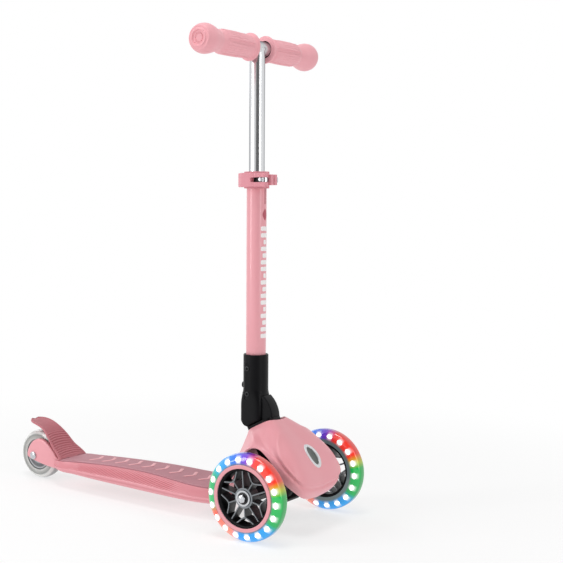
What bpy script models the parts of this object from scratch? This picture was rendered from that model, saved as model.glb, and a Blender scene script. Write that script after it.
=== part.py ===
"""Three-wheeled folding kick scooter for small children, lean-to-steer, with light-up front wheels.

Frame: +X forward, +Z up, -Y the rider's right. The origin is on the ground, midway between the front
of the front wheels and the back of the rear wheel. Sizes are in metres.
"""
import math

import bmesh
import bpy
from mathutils import Matrix, Vector

# ---- driving sizes ----
WHEELBASE = 0.480
TRACK = 0.214
GAP = 0.0003               # play between faces that touch

FRONT_WHEEL_R = 0.0605
FRONT_WHEEL_W = 0.024
FRONT_CROWN = 0.008        # depth of the tyre's round crown
HUB_R = 0.0408
HUB_W = 0.022
HUB_FACE = 0.002           # the spokes' faces lie this far inside the hub's width
HUB_RIM = 0.0030           # walls of the hub at its rim and round its bearings
HUB_BOSS = 0.0030
RIB = 0.0022
FORK_SPREAD = 21.0         # degrees from a Y rib's stem to the end of each of its arms
TREAD = 0.0065             # tyre outside the light ring's channel
LIGHT_HALF_W = 0.0043
LIGHT_SEAT = 0.0055        # from the hub to the inside of the light ring
TRIM_W = 0.0047            # trim ring, past the hub
TRIM_LAP = 0.001
TRIM_THICK = 0.0012
REAR_WHEEL_R = 0.040
REAR_WHEEL_W = 0.024
REAR_CROWN = 0.009
CORE_R = 0.0240
CORE_W = 0.021
BEARING_R = 0.011
BEARING_W = 0.007
BEARING_IN = 0.0035        # inner face of each bearing, from the wheel's middle
SPACER_WALL = 0.0018
AXLE_R = 0.0037
AXLE_DEPTH = 0.037         # from a front wheel's middle to its bolt's inner end
BOLT_HEAD_R = 0.0065
BOLT_HEAD_H = 0.003
REAR_HEAD_H = 0.002
REAR_NUT_H = 0.0027

STEM_BEHIND_AXLE = 0.0568  # the steering column stands this far behind the front axle
BAR_HEIGHT = 0.675         # centre of the crossbar at its lowest setting
BAR_TRAVEL = 0.100
BAR_STEPS = 3
BAR_R = 0.0111
BAR_WALL = 0.0015
BAR_ABOVE_FLOOR = 0.050
BAR_HALF = 0.1375
BUSH_ROOM = 0.0014         # between the bar and the column tube
TUBE_WALL = 0.0018
COLLAR_LOW = 0.4773
COLLAR_H = 0.0239
COLLAR_WALL = 0.0037
SLEEVE_WALL = 0.0037
SLEEVE_DEPTH = 0.040       # how much of the column tube stands in the sleeve
SOCKET_WALL = 0.014        # from the fold disc to the floor that the tube stands on
SCREW_R = 0.0018
SCREW_HEAD_R = 0.0038
SCREW_HEAD_H = 0.0016
HEIGHT_PIN_R = 0.003
SLIT = 0.0012              # half width of the clamp's slit in tube and collar
EAR_HALF_W = 0.008
EAR_HALF_H = 0.0075
CLAMP_BOLT_R = 0.0025
EYE_R = 0.0048             # eye of the clamp bolt, on the cam's pin
EYE_HALF = 0.0028
CAM_R = 0.0056
CAM_PIN_R = 0.0022
LEVER_ROOM = 0.0007
LEVER_THICK = 0.0045
LEVER_HALF_H = 0.0100

FOLD_BEHIND_STEM = 0.0052  # the fold pin lies this far behind the column's axis
FOLD_ABOVE_AXLE = 0.0895
FOLD_DISC_R = 0.036
CHEEK_LAP = 0.004          # how far the cheeks reach past the disc
FOLD_BOSS_R = 0.014
FOLD_PIN_R = 0.004
CHEEK_OUTER = 0.0175
CHEEK_INNER = 0.0109
NECK_TILT = math.radians(27)
NECK_LENGTH = 0.046
BUTTON_R = 0.0045
BUTTON_OUT = 0.0035
BUTTON_IN = 0.0085

KINGPIN_TILT = math.radians(55)
KINGPIN_R = 0.004
BOSS_R = 0.013
BOSS_HALF = 0.0172
LUG = 0.006
YOKE_HALF_W = 0.028
YOKE_REACH = 0.016
BEAM_HALF = 0.008
STEER_ROOM = 0.0165
STEER_LIMIT = math.radians(12)
STOP_R = 0.0045
STOP_Y = 0.021
CHASSIS_RISE = 0.0315      # top of the chassis above the front axle
DECK_UNDER_AXLE = 0.0205   # front end of the deck's datum line, below the front axle
TONGUE_DROP = 0.0130       # bottom and top of the chassis' tongue, below the datum line
TONGUE_ROOF = 0.0045
TONGUE_BACK = 0.125
DECK_BOLT_R = 0.0025
DECK_BOLT_TOP = 0.0007     # below the datum line

ARM_THICK = 0.009
ARM_ROOM = 0.0015          # play between the rear wheel and each fork arm
WHEEL_ROOM = 0.004         # play between the rear wheel and the deck's tail
TAIL = 0.008               # from the rear wheel to the deck's datum end
HINGE_BACK = 0.032         # brake hinge, ahead of the rear wheel and below its axle
HINGE_DROP = 0.004
POCKET_HALF_W = 0.028      # hollows under the deck
POCKET_ROOF = 0.004
MAT_THICK = 0.0025
PAD_THICK = 0.004
HINGE_R = 0.0045
BRAKE_PIN_R = 0.002
BRAKE_PIN_END = 0.016
BRAKE_FOOT_HALF = 0.008
HOOD_WALL = 0.0025
GRIP_START = 0.018
GRIP_CAP = 0.006           # rubber past the crossbar's end
KNOB = 0.0094              # rubber over the bar at the grip's knob

LOCK_HALF_L = 0.0138       # steering lock button, half its length up the hood
LOCK_HALF_W = 0.0080
RING_BORDER = 0.0055
RING_HALF_T = 0.002
RING_SINK = 0.0015
LOCK_HALF_T = 0.004
LOCK_TILT = math.radians(38)

# ---- places that follow from them ----
FRONT_X = (WHEELBASE + REAR_WHEEL_R - FRONT_WHEEL_R) / 2
REAR_X = FRONT_X - WHEELBASE
STEM_X = FRONT_X - STEM_BEHIND_AXLE
FOLD_X = STEM_X - FOLD_BEHIND_STEM
FOLD_HEIGHT = FRONT_WHEEL_R + FOLD_ABOVE_AXLE
FOLD_CHEEK_R = FOLD_DISC_R + CHEEK_LAP
CHASSIS_TOP = FRONT_WHEEL_R + CHASSIS_RISE
NECK_BASE = CHASSIS_TOP + GAP
TUBE_R = BAR_R + BUSH_ROOM + TUBE_WALL
COLLAR_R = TUBE_R + COLLAR_WALL
SLEEVE_R = TUBE_R + SLEEVE_WALL
SLEEVE_LOW = FOLD_HEIGHT + FOLD_DISC_R - 0.002
SOCKET_FLOOR = FOLD_HEIGHT + FOLD_DISC_R + SOCKET_WALL
SLEEVE_TOP = SOCKET_FLOOR + SLEEVE_DEPTH
BAR_BOTTOM = SOCKET_FLOOR + BAR_ABOVE_FLOOR
COLLAR_TOP = COLLAR_LOW + COLLAR_H
FORK_INNER = REAR_WHEEL_W / 2 + ARM_ROOM
FORK_OUTER = FORK_INNER + ARM_THICK
CLAMP_Z = COLLAR_LOW + COLLAR_H / 2
HEIGHT_PIN_Z = COLLAR_LOW - 0.0223
DECK_FRONT_X = FRONT_X - 0.080
DECK_REAR_X = REAR_X + REAR_WHEEL_R + TAIL
DECK_FRONT_Z = FRONT_WHEEL_R - DECK_UNDER_AXLE
TONGUE_LOW = DECK_FRONT_Z - TONGUE_DROP
TONGUE_HIGH = DECK_FRONT_Z - TONGUE_ROOF
BRAKE_HINGE = (REAR_X + REAR_WHEEL_R + HINGE_BACK, REAR_WHEEL_R - HINGE_DROP)
CAM_X = STEM_X + COLLAR_R + 0.004
CAM_Y = -0.014
GRIP_END = BAR_HALF + GRIP_CAP
UPPER_SCREW_Z = SLEEVE_TOP - 0.0206
LOWER_SCREW_Z = SLEEVE_LOW - 0.0012

PINK = (0.83, 0.33, 0.37)
DARK_PINK = (0.62, 0.20, 0.25)
BLACK = (0.02, 0.02, 0.022)
GREY = (0.12, 0.12, 0.125)
SILVER = (0.75, 0.75, 0.77)
CLEAR = (0.80, 0.84, 0.88)


# ---- small tools ----
def clear_scene():
    for obj in list(bpy.data.objects):
        bpy.data.objects.remove(obj, do_unlink=True)


def collection(name):
    made = bpy.data.collections.new(name)
    bpy.context.scene.collection.children.link(made)
    return made


def material(name, colour, roughness, metallic=0.0):
    made = bpy.data.materials.new(name)
    made.use_nodes = True
    shader = made.node_tree.nodes["Principled BSDF"]
    shader.inputs["Base Color"].default_value = (*colour, 1.0)
    shader.inputs["Roughness"].default_value = roughness
    shader.inputs["Metallic"].default_value = metallic
    return made


def add(name, mesh, place=None, finish=None):
    """Put a mesh in the parts' collection, or among the cutters when it has no finish."""
    obj = bpy.data.objects.new(name, mesh)
    if place is not None:
        obj.matrix_world = place
    if finish is None:
        cutters.objects.link(obj)
        obj.hide_render = True
        obj.display_type = "WIRE"
    else:
        parts.objects.link(obj)
        mesh.materials.append(finish)
    return obj


def at(x, y, z, turn=0.0, about="Y"):
    return Matrix.Translation((x, y, z)) @ Matrix.Rotation(turn, 4, about)


def along_y(x, y, z):
    """A frame whose own Z lies along +Y and whose X stays along +X."""
    return at(x, y, z, -math.pi / 2, "X")


def facing_y(x, y, z):
    """A frame for a side view outline: own X along +X, own Y along +Z."""
    return at(x, y, z, math.pi / 2, "X")


def boolean(obj, other, operation):
    step = obj.modifiers.new(operation.lower(), "BOOLEAN")
    step.operation = operation
    step.object = other
    step.solver = "EXACT"
    return obj


def cut(obj, *others):
    for other in others:
        boolean(obj, other, "DIFFERENCE")
    return obj


def join(obj, *others):
    for other in others:
        boolean(obj, other, "UNION")
    return obj


def soften(obj, width):
    """Chamfer the edges between a plate's faces and its rim."""
    step = obj.modifiers.new("soften", "BEVEL")
    step.width = width
    step.segments = 1
    step.limit_method = "ANGLE"
    step.angle_limit = math.radians(60)


def turned(name, profile, place, finish=None, segments=24, closed=False):
    """A profile of (radius, height) points, outer side top to bottom, turned about the frame's Z."""
    mesh = bpy.data.meshes.new(name)
    count = len(profile)
    edges = [(i, i + 1) for i in range(count - 1)]
    if closed:
        edges.append((count - 1, 0))
    mesh.from_pydata([(r, 0.0, h) for r, h in profile], edges, [])
    obj = add(name, mesh, place, finish)
    screw = obj.modifiers.new("turn", "SCREW")
    screw.steps = segments
    screw.render_steps = segments
    screw.use_merge_vertices = True
    screw.merge_threshold = 0.00001
    return obj


def ring(name, outer, inner, low, high, place, finish=None, segments=24):
    profile = [(outer, high), (outer, low), (inner, low), (inner, high)]
    return turned(name, profile, place, finish, segments, closed=True)


def rod(name, radius, low, high, place, finish=None, segments=16):
    profile = [(0.0, high), (radius, high), (radius, low), (0.0, low)]
    return turned(name, profile, place, finish, segments)


def bolt(name, shank, low, high, place, finish, head=BOLT_HEAD_R, head_h=BOLT_HEAD_H):
    """A bolt with its head above `high`."""
    profile = [(0.0, high + head_h), (head * 0.8, high + head_h), (head, high + head_h * 0.6),
               (head, high), (shank, high), (shank, low), (0.0, low)]
    return turned(name, profile, place, finish, 12)


def plate(name, outlines, half_thickness, place, finish=None):
    """A flat outline with any holes as further outlines, filled and given its thickness."""
    curve = bpy.data.curves.new(name, "CURVE")
    curve.dimensions = "2D"
    curve.fill_mode = "BOTH"
    curve.extrude = half_thickness
    for outline in outlines:
        spline = curve.splines.new("POLY")
        spline.points.add(len(outline) - 1)
        for point, (x, y) in zip(spline.points, outline):
            point.co = (x, y, 0.0, 1.0)
        spline.use_cyclic_u = True
    source = bpy.data.objects.new(name + "_outline", curve)
    bpy.context.scene.collection.objects.link(source)
    graph = bpy.context.evaluated_depsgraph_get()
    mesh = bpy.data.meshes.new_from_object(source.evaluated_get(graph))
    bpy.data.objects.remove(source, do_unlink=True)
    work = bmesh.new()
    work.from_mesh(mesh)
    bmesh.ops.remove_doubles(work, verts=work.verts, dist=0.000005)
    bmesh.ops.recalc_face_normals(work, faces=work.faces)
    work.to_mesh(mesh)
    work.free()
    mesh.materials.clear()
    mesh.name = name
    return add(name, mesh, place, finish)


def block(name, low, high, place=None, finish=None):
    """A box between two corners."""
    work = bmesh.new()
    bmesh.ops.create_cube(work, size=1.0)
    size = Vector(high) - Vector(low)
    middle = (Vector(high) + Vector(low)) / 2
    bmesh.ops.scale(work, vec=size, verts=work.verts)
    bmesh.ops.translate(work, vec=middle, verts=work.verts)
    mesh = bpy.data.meshes.new(name)
    work.to_mesh(mesh)
    work.free()
    return add(name, mesh, place, finish)


def surface(name, rows, wrap, finish, capped=False, place=None):
    """A loft through rows of points; wrap closes each row, capped closes the two ends."""
    count = len(rows[0])
    mesh = bpy.data.meshes.new(name)
    faces = []
    for i in range(len(rows) - 1):
        for j in range(count if wrap else count - 1):
            k = (j + 1) % count
            faces.append((i * count + j, i * count + k, (i + 1) * count + k, (i + 1) * count + j))
    if capped:
        faces.append(tuple(range(count)))
        faces.append(tuple((len(rows) - 1) * count + j for j in range(count)))
    mesh.from_pydata([point for row in rows for point in row], [], faces)
    work = bmesh.new()
    work.from_mesh(mesh)
    bmesh.ops.recalc_face_normals(work, faces=work.faces)
    work.to_mesh(mesh)
    work.free()
    return add(name, mesh, place, finish)


def hole_r(radius, segments):
    """The radius of a hole's corners that leaves the play all round a shaft."""
    return (radius + GAP) / math.cos(math.pi / segments)


def polar(radius, degrees):
    return (radius * math.cos(math.radians(degrees)), radius * math.sin(math.radians(degrees)))


def arc(cx, cy, radius, start, end, count):
    """Points on an arc from one angle to another, in degrees."""
    steps = [math.radians(start + (end - start) * i / (count - 1)) for i in range(count)]
    return [(cx + radius * math.cos(a), cy + radius * math.sin(a)) for a in steps]


def circle(radius, count, cx=0.0, cy=0.0):
    return arc(cx, cy, radius, 0.0, 360.0 * (count - 1) / count, count)


def oval(half_x, half_y, count):
    return [(half_x * x, half_y * y) for x, y in circle(1.0, count)]


def rounded(half_x, half_y, corner, count=4):
    """A rectangle with round corners."""
    points = []
    for sx, sy, start in ((1, 1, 0), (-1, 1, 90), (-1, -1, 180), (1, -1, 270)):
        points += arc(sx * (half_x - corner), sy * (half_y - corner), corner, start, start + 90, count)
    return points


def blend(keys, t):
    """Catmull-Rom through (t, values) rows."""
    last = len(keys) - 2
    i = max(k for k in range(last + 1) if keys[k][0] <= t + 1e-9)
    rows = [keys[max(i - 1, 0)], keys[i], keys[i + 1], keys[min(i + 2, last + 1)]]
    span = rows[2][0] - rows[1][0]
    u = (t - rows[1][0]) / span
    values = []
    for a, b, c, d in zip(*(row[1] for row in rows)):
        before = (c - a) / max(rows[2][0] - rows[0][0], 1e-9) * span
        after = (d - b) / max(rows[3][0] - rows[1][0], 1e-9) * span
        values.append(b + u * before + u * u * (3 * (c - b) - 2 * before - after)
                      + u * u * u * (2 * (b - c) + before + after))
    return values


# ---- wheels ----
def spoked_outline():
    """Rim circle, bearing bore and the windows between five straight ribs and five Y ribs."""
    rim, boss = HUB_R - HUB_RIM, BEARING_R + HUB_BOSS
    fork_r = boss + 0.53 * (rim - boss)
    fork_bow = 0.88 * (rim - fork_r)

    def shift(r):
        return math.degrees(RIB / 2 / r)

    outlines = [circle(HUB_R, 40), circle(hole_r(BEARING_R, 16), 16)]
    for k in range(5):
        straight, forked = 72.0 * k - 22.0, 72.0 * k - 58.0
        for side in (1, -1):
            edge = forked + side * FORK_SPREAD
            wall = straight if side > 0 else straight - 72.0
            window = [polar(boss, forked + side * shift(boss)),
                      polar(fork_r - RIB, forked + side * shift(fork_r))]
            for step in (0.4, 0.75, 1.0):
                spread = FORK_SPREAD * step
                window.append(polar(fork_r + fork_bow * step ** 2 - RIB, forked + side * (spread + 2.0)))
            window.append(polar(rim, edge + side * 3.5))
            window.append(polar(rim, wall - side * shift(rim)))
            window.append(polar(boss, wall - side * shift(boss)))
            outlines.append(window)
        bowl = []
        for step in (-0.8, -0.4, 0.0, 0.4, 0.8):
            bowl.append(polar(fork_r + fork_bow * step ** 2 + RIB * 0.6, forked + FORK_SPREAD * step))
        bowl.append(polar(rim, forked + FORK_SPREAD * 0.8))
        bowl.append(polar(rim, forked))
        bowl.append(polar(rim, forked - FORK_SPREAD * 0.8))
        outlines.append(bowl)
    return outlines


def tyre_profile(radius, width, bore, crown, groove=None):
    """Round-crowned tyre section; groove is (outer radius, half width) of a channel open to the bore."""
    half = width / 2
    profile = [(radius - crown + crown * math.cos(a), half * math.sin(a))
               for a in (math.radians(90 - 180 * i / 8) for i in range(9))]
    profile.append((bore, -half * 0.86))
    if groove:
        profile += [(bore, -groove[1]), (groove[0], -groove[1]), (groove[0], groove[1]), (bore, groove[1])]
    return profile + [(bore, half * 0.86)]


def front_wheel(side, sign):
    place = along_y(FRONT_X, sign * TRACK / 2, FRONT_WHEEL_R)
    groove = (FRONT_WHEEL_R - TREAD, LIGHT_HALF_W)
    turned(f"tyre_{side}", tyre_profile(FRONT_WHEEL_R, FRONT_WHEEL_W, hole_r(HUB_R, 40), FRONT_CROWN, groove),
           place, clear_pu, 40, closed=True)
    half = LIGHT_HALF_W - GAP
    ring(f"led_ring_{side}", groove[0] - GAP, HUB_R + LIGHT_SEAT, -half, half, place, led_white, 40)
    plate(f"hub_{side}", spoked_outline(), HUB_W / 2 - HUB_FACE, place, grey_nylon)
    face = FRONT_WHEEL_W / 2 + GAP
    low, high = sorted((sign * face, sign * (face + TRIM_THICK)))
    ring(f"rim_ring_{side}", HUB_R + TRIM_W, HUB_R - TRIM_LAP, low, high, place, pink_plastic, 40)
    bearings(side, (("outer", sign), ("inner", -sign)), place)
    frame = place if sign > 0 else place @ Matrix.Rotation(math.pi, 4, "X")
    bolt(f"front_axle_bolt_{side}", AXLE_R, -AXLE_DEPTH, HUB_W / 2 + GAP, frame, steel)


def bearings(wheel, names, place):
    """Two bearings and the spacer between them, on the wheel's axle."""
    bore = hole_r(AXLE_R, 16)
    for name, way in names:
        low, high = sorted((way * BEARING_IN, way * (BEARING_IN + BEARING_W)))
        title = f"rear_bearing_{name}" if wheel == "rear" else f"bearing_{wheel}_{name}"
        ring(title, BEARING_R, bore, low, high, place, steel, 16)
    title = "rear_bearing_spacer" if wheel == "rear" else f"bearing_spacer_{wheel}"
    half = BEARING_IN - GAP
    ring(title, AXLE_R + SPACER_WALL, bore, -half, half, place, steel, 12)


def rear_wheel():
    place = along_y(REAR_X, 0.0, REAR_WHEEL_R)
    turned("rear_tyre", tyre_profile(REAR_WHEEL_R, REAR_WHEEL_W, hole_r(CORE_R, 32), REAR_CROWN), place,
           clear_pu, 36, closed=True)
    ring("rear_core", CORE_R, hole_r(BEARING_R, 16), -CORE_W / 2, CORE_W / 2, place, grey_nylon, 32)
    bearings("rear", (("right", -1), ("left", 1)), place)
    seat = FORK_OUTER + GAP
    flipped = place @ Matrix.Rotation(math.pi, 4, "X")
    bolt("rear_axle", AXLE_R, -FORK_OUTER - REAR_HEAD_H, seat, flipped, steel, head_h=REAR_HEAD_H)
    ring("rear_axle_nut", BOLT_HEAD_R, hole_r(AXLE_R, 16), seat, seat + REAR_NUT_H, place, steel, 12)


# ---- deck ----
DECK_KEYS = [  # share of the deck's length: half width on top, widest half width, top and bottom from
    # the datum line
    (0.000, (0.024, 0.0245, -0.0010, -0.0160)),
    (0.057, (0.033, 0.0370, 0.0012, -0.0165)),
    (0.148, (0.032, 0.0420, 0.0032, -0.0160)),
    (0.247, (0.031, 0.0460, 0.0052, -0.0164)),
    (0.403, (0.031, 0.0500, 0.0072, -0.0172)),
    (0.588, (0.035, 0.0540, 0.0072, -0.0180)),
    (0.747, (0.041, 0.0570, 0.0045, -0.0185)),
    (0.830, (0.044, 0.0580, 0.0032, -0.0185)),
    (0.895, (0.043, 0.0570, 0.0027, -0.0182)),
    (1.000, (0.034, 0.0500, 0.0020, -0.0175)),
]


def deck_x(share):
    return DECK_REAR_X + share * (DECK_FRONT_X - DECK_REAR_X)


def deck_line(share):
    """Height of the deck's datum line, from the rear axle's height to its front end's."""
    return REAR_WHEEL_R + share * (DECK_FRONT_Z - REAR_WHEEL_R)


def deck_section(share, top_w, widest, top, bottom):
    lip = bottom + (top - bottom) * 0.45
    half = [(top_w, top), (widest, lip), (widest, lip - 0.003), (widest - 0.005, bottom + 0.002),
            (widest - 0.011, bottom)]
    around = half + [(-y, z) for y, z in reversed(half)]
    return [(deck_x(share), y, deck_line(share) + z) for y, z in around]


def deck_base():
    rows = [deck_section(share, *values) for share, values in DECK_KEYS]
    base = surface("deck_base", rows, True, pink_plastic, capped=True)
    arm_end = REAR_WHEEL_R + 0.030
    arm_side = [(arm_end, -0.016), (arm_end, 0.0), (0.053, 0.0014), (0.045, 0.0098), (0.034, 0.020),
                (0.024, 0.026), (0.014, 0.029), (0.005, 0.028), (-0.005, 0.0215), (-0.013, 0.010),
                (-0.016, -0.001), (-0.005, -0.0065), (0.008, -0.010), (0.026, -0.0135), (0.050, -0.016)]
    for sign in (-1, 1):
        middle = sign * (FORK_INNER + ARM_THICK / 2)
        join(base, plate(f"arm{sign}", [arm_side], ARM_THICK / 2, facing_y(REAR_X, middle, REAR_WHEEL_R)))
    for low, high in ((0.17, 0.33), (0.35, 0.51), (0.53, 0.69)):
        roof = min(deck_line(low), deck_line(high)) - POCKET_ROOF
        cut(base, block("pocket", (deck_x(low), -POCKET_HALF_W, 0.0), (deck_x(high), POCKET_HALF_W, roof)))
    cut(base, block("tongue_room", (FRONT_X - TONGUE_BACK - 0.003, -YOKE_HALF_W, 0.0),
                    (DECK_FRONT_X + 0.01, YOKE_HALF_W, TONGUE_HIGH + GAP)))
    for x in deck_bolts():
        top = DECK_FRONT_Z - DECK_BOLT_TOP + 0.0004
        cut(base, rod("bolt_hole", hole_r(DECK_BOLT_R, 16), TONGUE_LOW + 0.003, top, at(x, 0, 0)))
    wheel_room = REAR_X + REAR_WHEEL_R + WHEEL_ROOM
    cut(base, block("wheel_room", (REAR_X - 0.1, -FORK_INNER, 0.0), (wheel_room, FORK_INNER, 0.1)))
    hinge_x, hinge_z = BRAKE_HINGE
    room, side = HINGE_R + 0.002, BRAKE_PIN_END - 0.0035
    cut(base, block("hinge_room", (wheel_room - 0.01, -side, hinge_z - room), (hinge_x + room, side, 0.1)))
    end, hinge = BRAKE_PIN_END + 0.0005, along_y(hinge_x, 0, hinge_z)
    cut(base, rod("hinge_hole", hole_r(BRAKE_PIN_R, 12), -end, end, hinge, segments=12))
    cut(base, rod("axle_hole", hole_r(AXLE_R, 16), -0.05, 0.05, along_y(REAR_X, 0, REAR_WHEEL_R)))
    return base


def deck_bolts():
    return (FRONT_X - 0.117, FRONT_X - 0.100)


def deck_mat():
    rows = []
    for share in (0.060, 0.148, 0.247, 0.403, 0.588, 0.747, 0.830, 0.895, 0.930):
        top_w, _, top, _ = blend(DECK_KEYS, share)
        if share not in (key[0] for key in DECK_KEYS):
            top += 0.0002
        low, half = top + GAP, top_w - 0.0005
        base = deck_line(share)
        rows.append([(deck_x(share), y, base + z) for y, z in
                     ((half, low), (half, low + MAT_THICK), (-half, low + MAT_THICK), (-half, low))])
    surface("deck_mat", rows, True, dark_pink_mat, capped=True)


def brake():
    """Pad that rises from the deck's tail over the rear wheel, hinged in the tail."""
    keys = [  # degrees about the rear axle, distance from the wheel, half width
        (0.0, (6.2, 0.0264, 0.0320)),
        (0.2, (22.6, 0.0120, 0.0270)),
        (0.4, (46.3, 0.0084, 0.0237)),
        (0.6, (70.5, 0.0109, 0.0205)),
        (0.8, (92.1, 0.0150, 0.0205)),
        (1.0, (106.2, 0.0209, 0.0150)),
    ]
    rows = []
    for step in range(11):
        degrees, room, half = blend(keys, step / 10)
        dx, dz = polar(REAR_WHEEL_R + room, degrees)
        rows.append([(REAR_X + dx, half * t, REAR_WHEEL_R + dz + 0.002 * (t * t - 0.5))
                     for t in (-1, -0.6, 0, 0.6, 1)])
    pad = surface("brake_pad", rows, False, dark_pink_mat)
    thick = pad.modifiers.new("thickness", "SOLIDIFY")
    thick.thickness = PAD_THICK
    thick.offset = -1.0 if rows_face_up(pad) else 1.0
    hinge_x, hinge_z = BRAKE_HINGE
    foot = [(hinge_x - 0.006, hinge_z + 0.0075), (hinge_x - 0.013, hinge_z + 0.0100),
            (hinge_x - 0.009, hinge_z - 0.0020), (hinge_x, hinge_z - HINGE_R), (hinge_x + 0.002, hinge_z)]
    hinge = along_y(hinge_x, 0, hinge_z)
    bore, half = hole_r(BRAKE_PIN_R, 12), BRAKE_FOOT_HALF
    join(pad, plate("brake_foot", [foot], half, facing_y(0, 0, 0)))
    join(pad, rod("brake_barrel", HINGE_R, -half, half, hinge))
    cut(pad, rod("brake_bore", bore, -0.02, 0.02, hinge, segments=12))
    rod("brake_pin", BRAKE_PIN_R, -BRAKE_PIN_END, BRAKE_PIN_END, hinge, steel, 12)
    ring("brake_spring", HINGE_R - 0.0005, bore, half + 0.0004, half + 0.0040, hinge, steel, 12)


def rows_face_up(obj):
    return obj.data.polygons[0].normal.z > 0


# ---- truck ----
def kingpin_frame():
    """Own Z up along the kingpin, own X forward and down across it."""
    return at(FRONT_X, 0, FRONT_WHEEL_R, math.pi / 2 - KINGPIN_TILT)


def truck():
    frame = kingpin_frame()
    carrier = turned("axle_carrier", [(0.0, BOSS_HALF), (BOSS_R, BOSS_HALF), (BOSS_R, -BOSS_HALF),
                                      (0.0, -BOSS_HALF)], frame, black_steel, 20)
    reach = TRACK / 2 - HUB_W / 2 - GAP
    half = BEAM_HALF
    beam = [(-reach, -half * 0.8), (reach, -half * 0.8), (reach, half * 0.8), (-reach, half * 0.8)]
    join(carrier, plate("beam", [beam], half, frame @ Matrix.Rotation(math.pi / 2, 4, "Z")
                        @ Matrix.Rotation(math.pi / 2, 4, "X")))
    cut(carrier, rod("king_bore", hole_r(KINGPIN_R, 16), -0.05, 0.05, frame))
    stub = TRACK / 2 - AXLE_DEPTH - 0.001
    for sign in (-1, 1):
        low, high = sorted((sign * stub, sign * (reach + 0.01)))
        cut(carrier, rod("stub_hole", hole_r(AXLE_R, 16), low, high, along_y(FRONT_X, 0, FRONT_WHEEL_R)))
    end = BOSS_HALF + GAP + LUG
    bolt("kingpin", KINGPIN_R, -end, end + GAP, frame, steel, head=0.0065, head_h=0.0025)


def chassis():
    """C-shaped yoke for the kingpin, seat for the neck and a tongue inside the deck's front end."""
    tilt = KINGPIN_TILT
    up, across = (math.cos(tilt), math.sin(tilt)), (math.sin(tilt), -math.cos(tilt))

    def point(t, u):
        return (t * up[0] + u * across[0], t * up[1] + u * across[1])

    inner, outer = BOSS_HALF + GAP, BOSS_HALF + GAP + LUG
    base = -FRONT_WHEEL_R
    side = [(-TONGUE_BACK, TONGUE_LOW + base), (-0.050, TONGUE_LOW + base), point(-outer, -0.004),
            point(-outer, YOKE_REACH), point(-inner, YOKE_REACH), point(-inner, -STEER_ROOM),
            point(inner, -STEER_ROOM), point(inner, YOKE_REACH), point(outer, YOKE_REACH),
            point(outer, -0.010), (-0.004, CHASSIS_TOP + base), (-0.048, CHASSIS_TOP + base),
            (-0.076, -0.0005), (-0.076, TONGUE_HIGH + base), (-TONGUE_BACK, TONGUE_HIGH + base)]
    body = plate("front_chassis", [side], YOKE_HALF_W - GAP, facing_y(FRONT_X, 0, FRONT_WHEEL_R), black_steel)
    cut(body, rod("king_hole", hole_r(KINGPIN_R, 16), -0.1, 0.1, kingpin_frame()))
    for x in deck_bolts():
        cut(body, rod("tongue_hole", hole_r(DECK_BOLT_R, 16), 0.0, CHASSIS_TOP, at(x, 0, 0)))
    for x, name in zip(deck_bolts(), ("deck_bolt_rear", "deck_bolt_front")):
        flipped = at(x, 0, 0) @ Matrix.Rotation(math.pi, 4, "X")
        bolt(name, DECK_BOLT_R, DECK_BOLT_TOP - DECK_FRONT_Z, GAP - TONGUE_LOW, flipped, steel, head=0.005,
             head_h=0.0022)
    face = BEAM_HALF / math.cos(STEER_LIMIT) + (STOP_Y + STOP_R) * math.tan(STEER_LIMIT)
    for side_name, sign in (("right", -1), ("left", 1)):
        frame = kingpin_frame() @ Matrix.Translation((0, sign * STOP_Y, 0)) @ Matrix.Rotation(math.pi / 2, 4, "Y")
        rod(f"steer_stop_{side_name}", STOP_R, -STEER_ROOM + GAP, -face - GAP, frame, rubber, 12)


# ---- hood ----
HOOD_RIBS = [  # rim angle: three more control points of the rib, from the front axle, at y >= 0
    (0, ((0.034, 0.000, 0.0565), (0.078, 0.000, 0.0105), (0.045, 0.000, -0.0155))),
    (35, ((0.036, 0.040, 0.0595), (0.073, 0.060, 0.0160), (0.047, 0.038, -0.0095))),
    (60, ((0.018, 0.052, 0.0655), (0.052, 0.074, 0.0300), (0.039, 0.053, 0.0020))),
    (80, ((-0.008, 0.050, 0.0705), (0.026, 0.070, 0.0475), (0.025, 0.059, 0.0155))),
    (95, ((-0.028, 0.043, 0.0725), (-0.004, 0.064, 0.0615), (0.006, 0.061, 0.0415))),
    (108, ((-0.038, 0.038, 0.0705), (-0.024, 0.058, 0.0675), (-0.013, 0.062, 0.0565))),
    (122, ((-0.045, 0.030, 0.0695), (-0.036, 0.048, 0.0615), (-0.034, 0.061, 0.0515))),
    (135, ((-0.055, 0.026, 0.0615), (-0.050, 0.046, 0.0455), (-0.052, 0.060, 0.0235))),
    (147, ((-0.062, 0.020, 0.0555), (-0.064, 0.044, 0.0275), (-0.068, 0.057, -0.0085))),
    (163, ((-0.066, 0.010, 0.0515), (-0.076, 0.032, 0.0175), (-0.090, 0.042, -0.0110))),
    (180, ((-0.068, 0.000, 0.0475), (-0.080, 0.000, 0.0155), (-0.096, 0.000, -0.0110))),
]
RIM_HALF_L = NECK_LENGTH / 2 + HOOD_WALL + 0.0012
RIM_HALF_W = CHEEK_OUTER + HOOD_WALL + 0.0012
RIM_DROP = 0.0223          # the rim's plane lies this far under the fold pin
RIM_FORWARD = 0.0173


def neck_frame():
    """Own Z up along the neck, own X forward along the hood's rim; the origin is the fold pin."""
    return at(FOLD_X, 0, FOLD_HEIGHT, -NECK_TILT)


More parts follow.
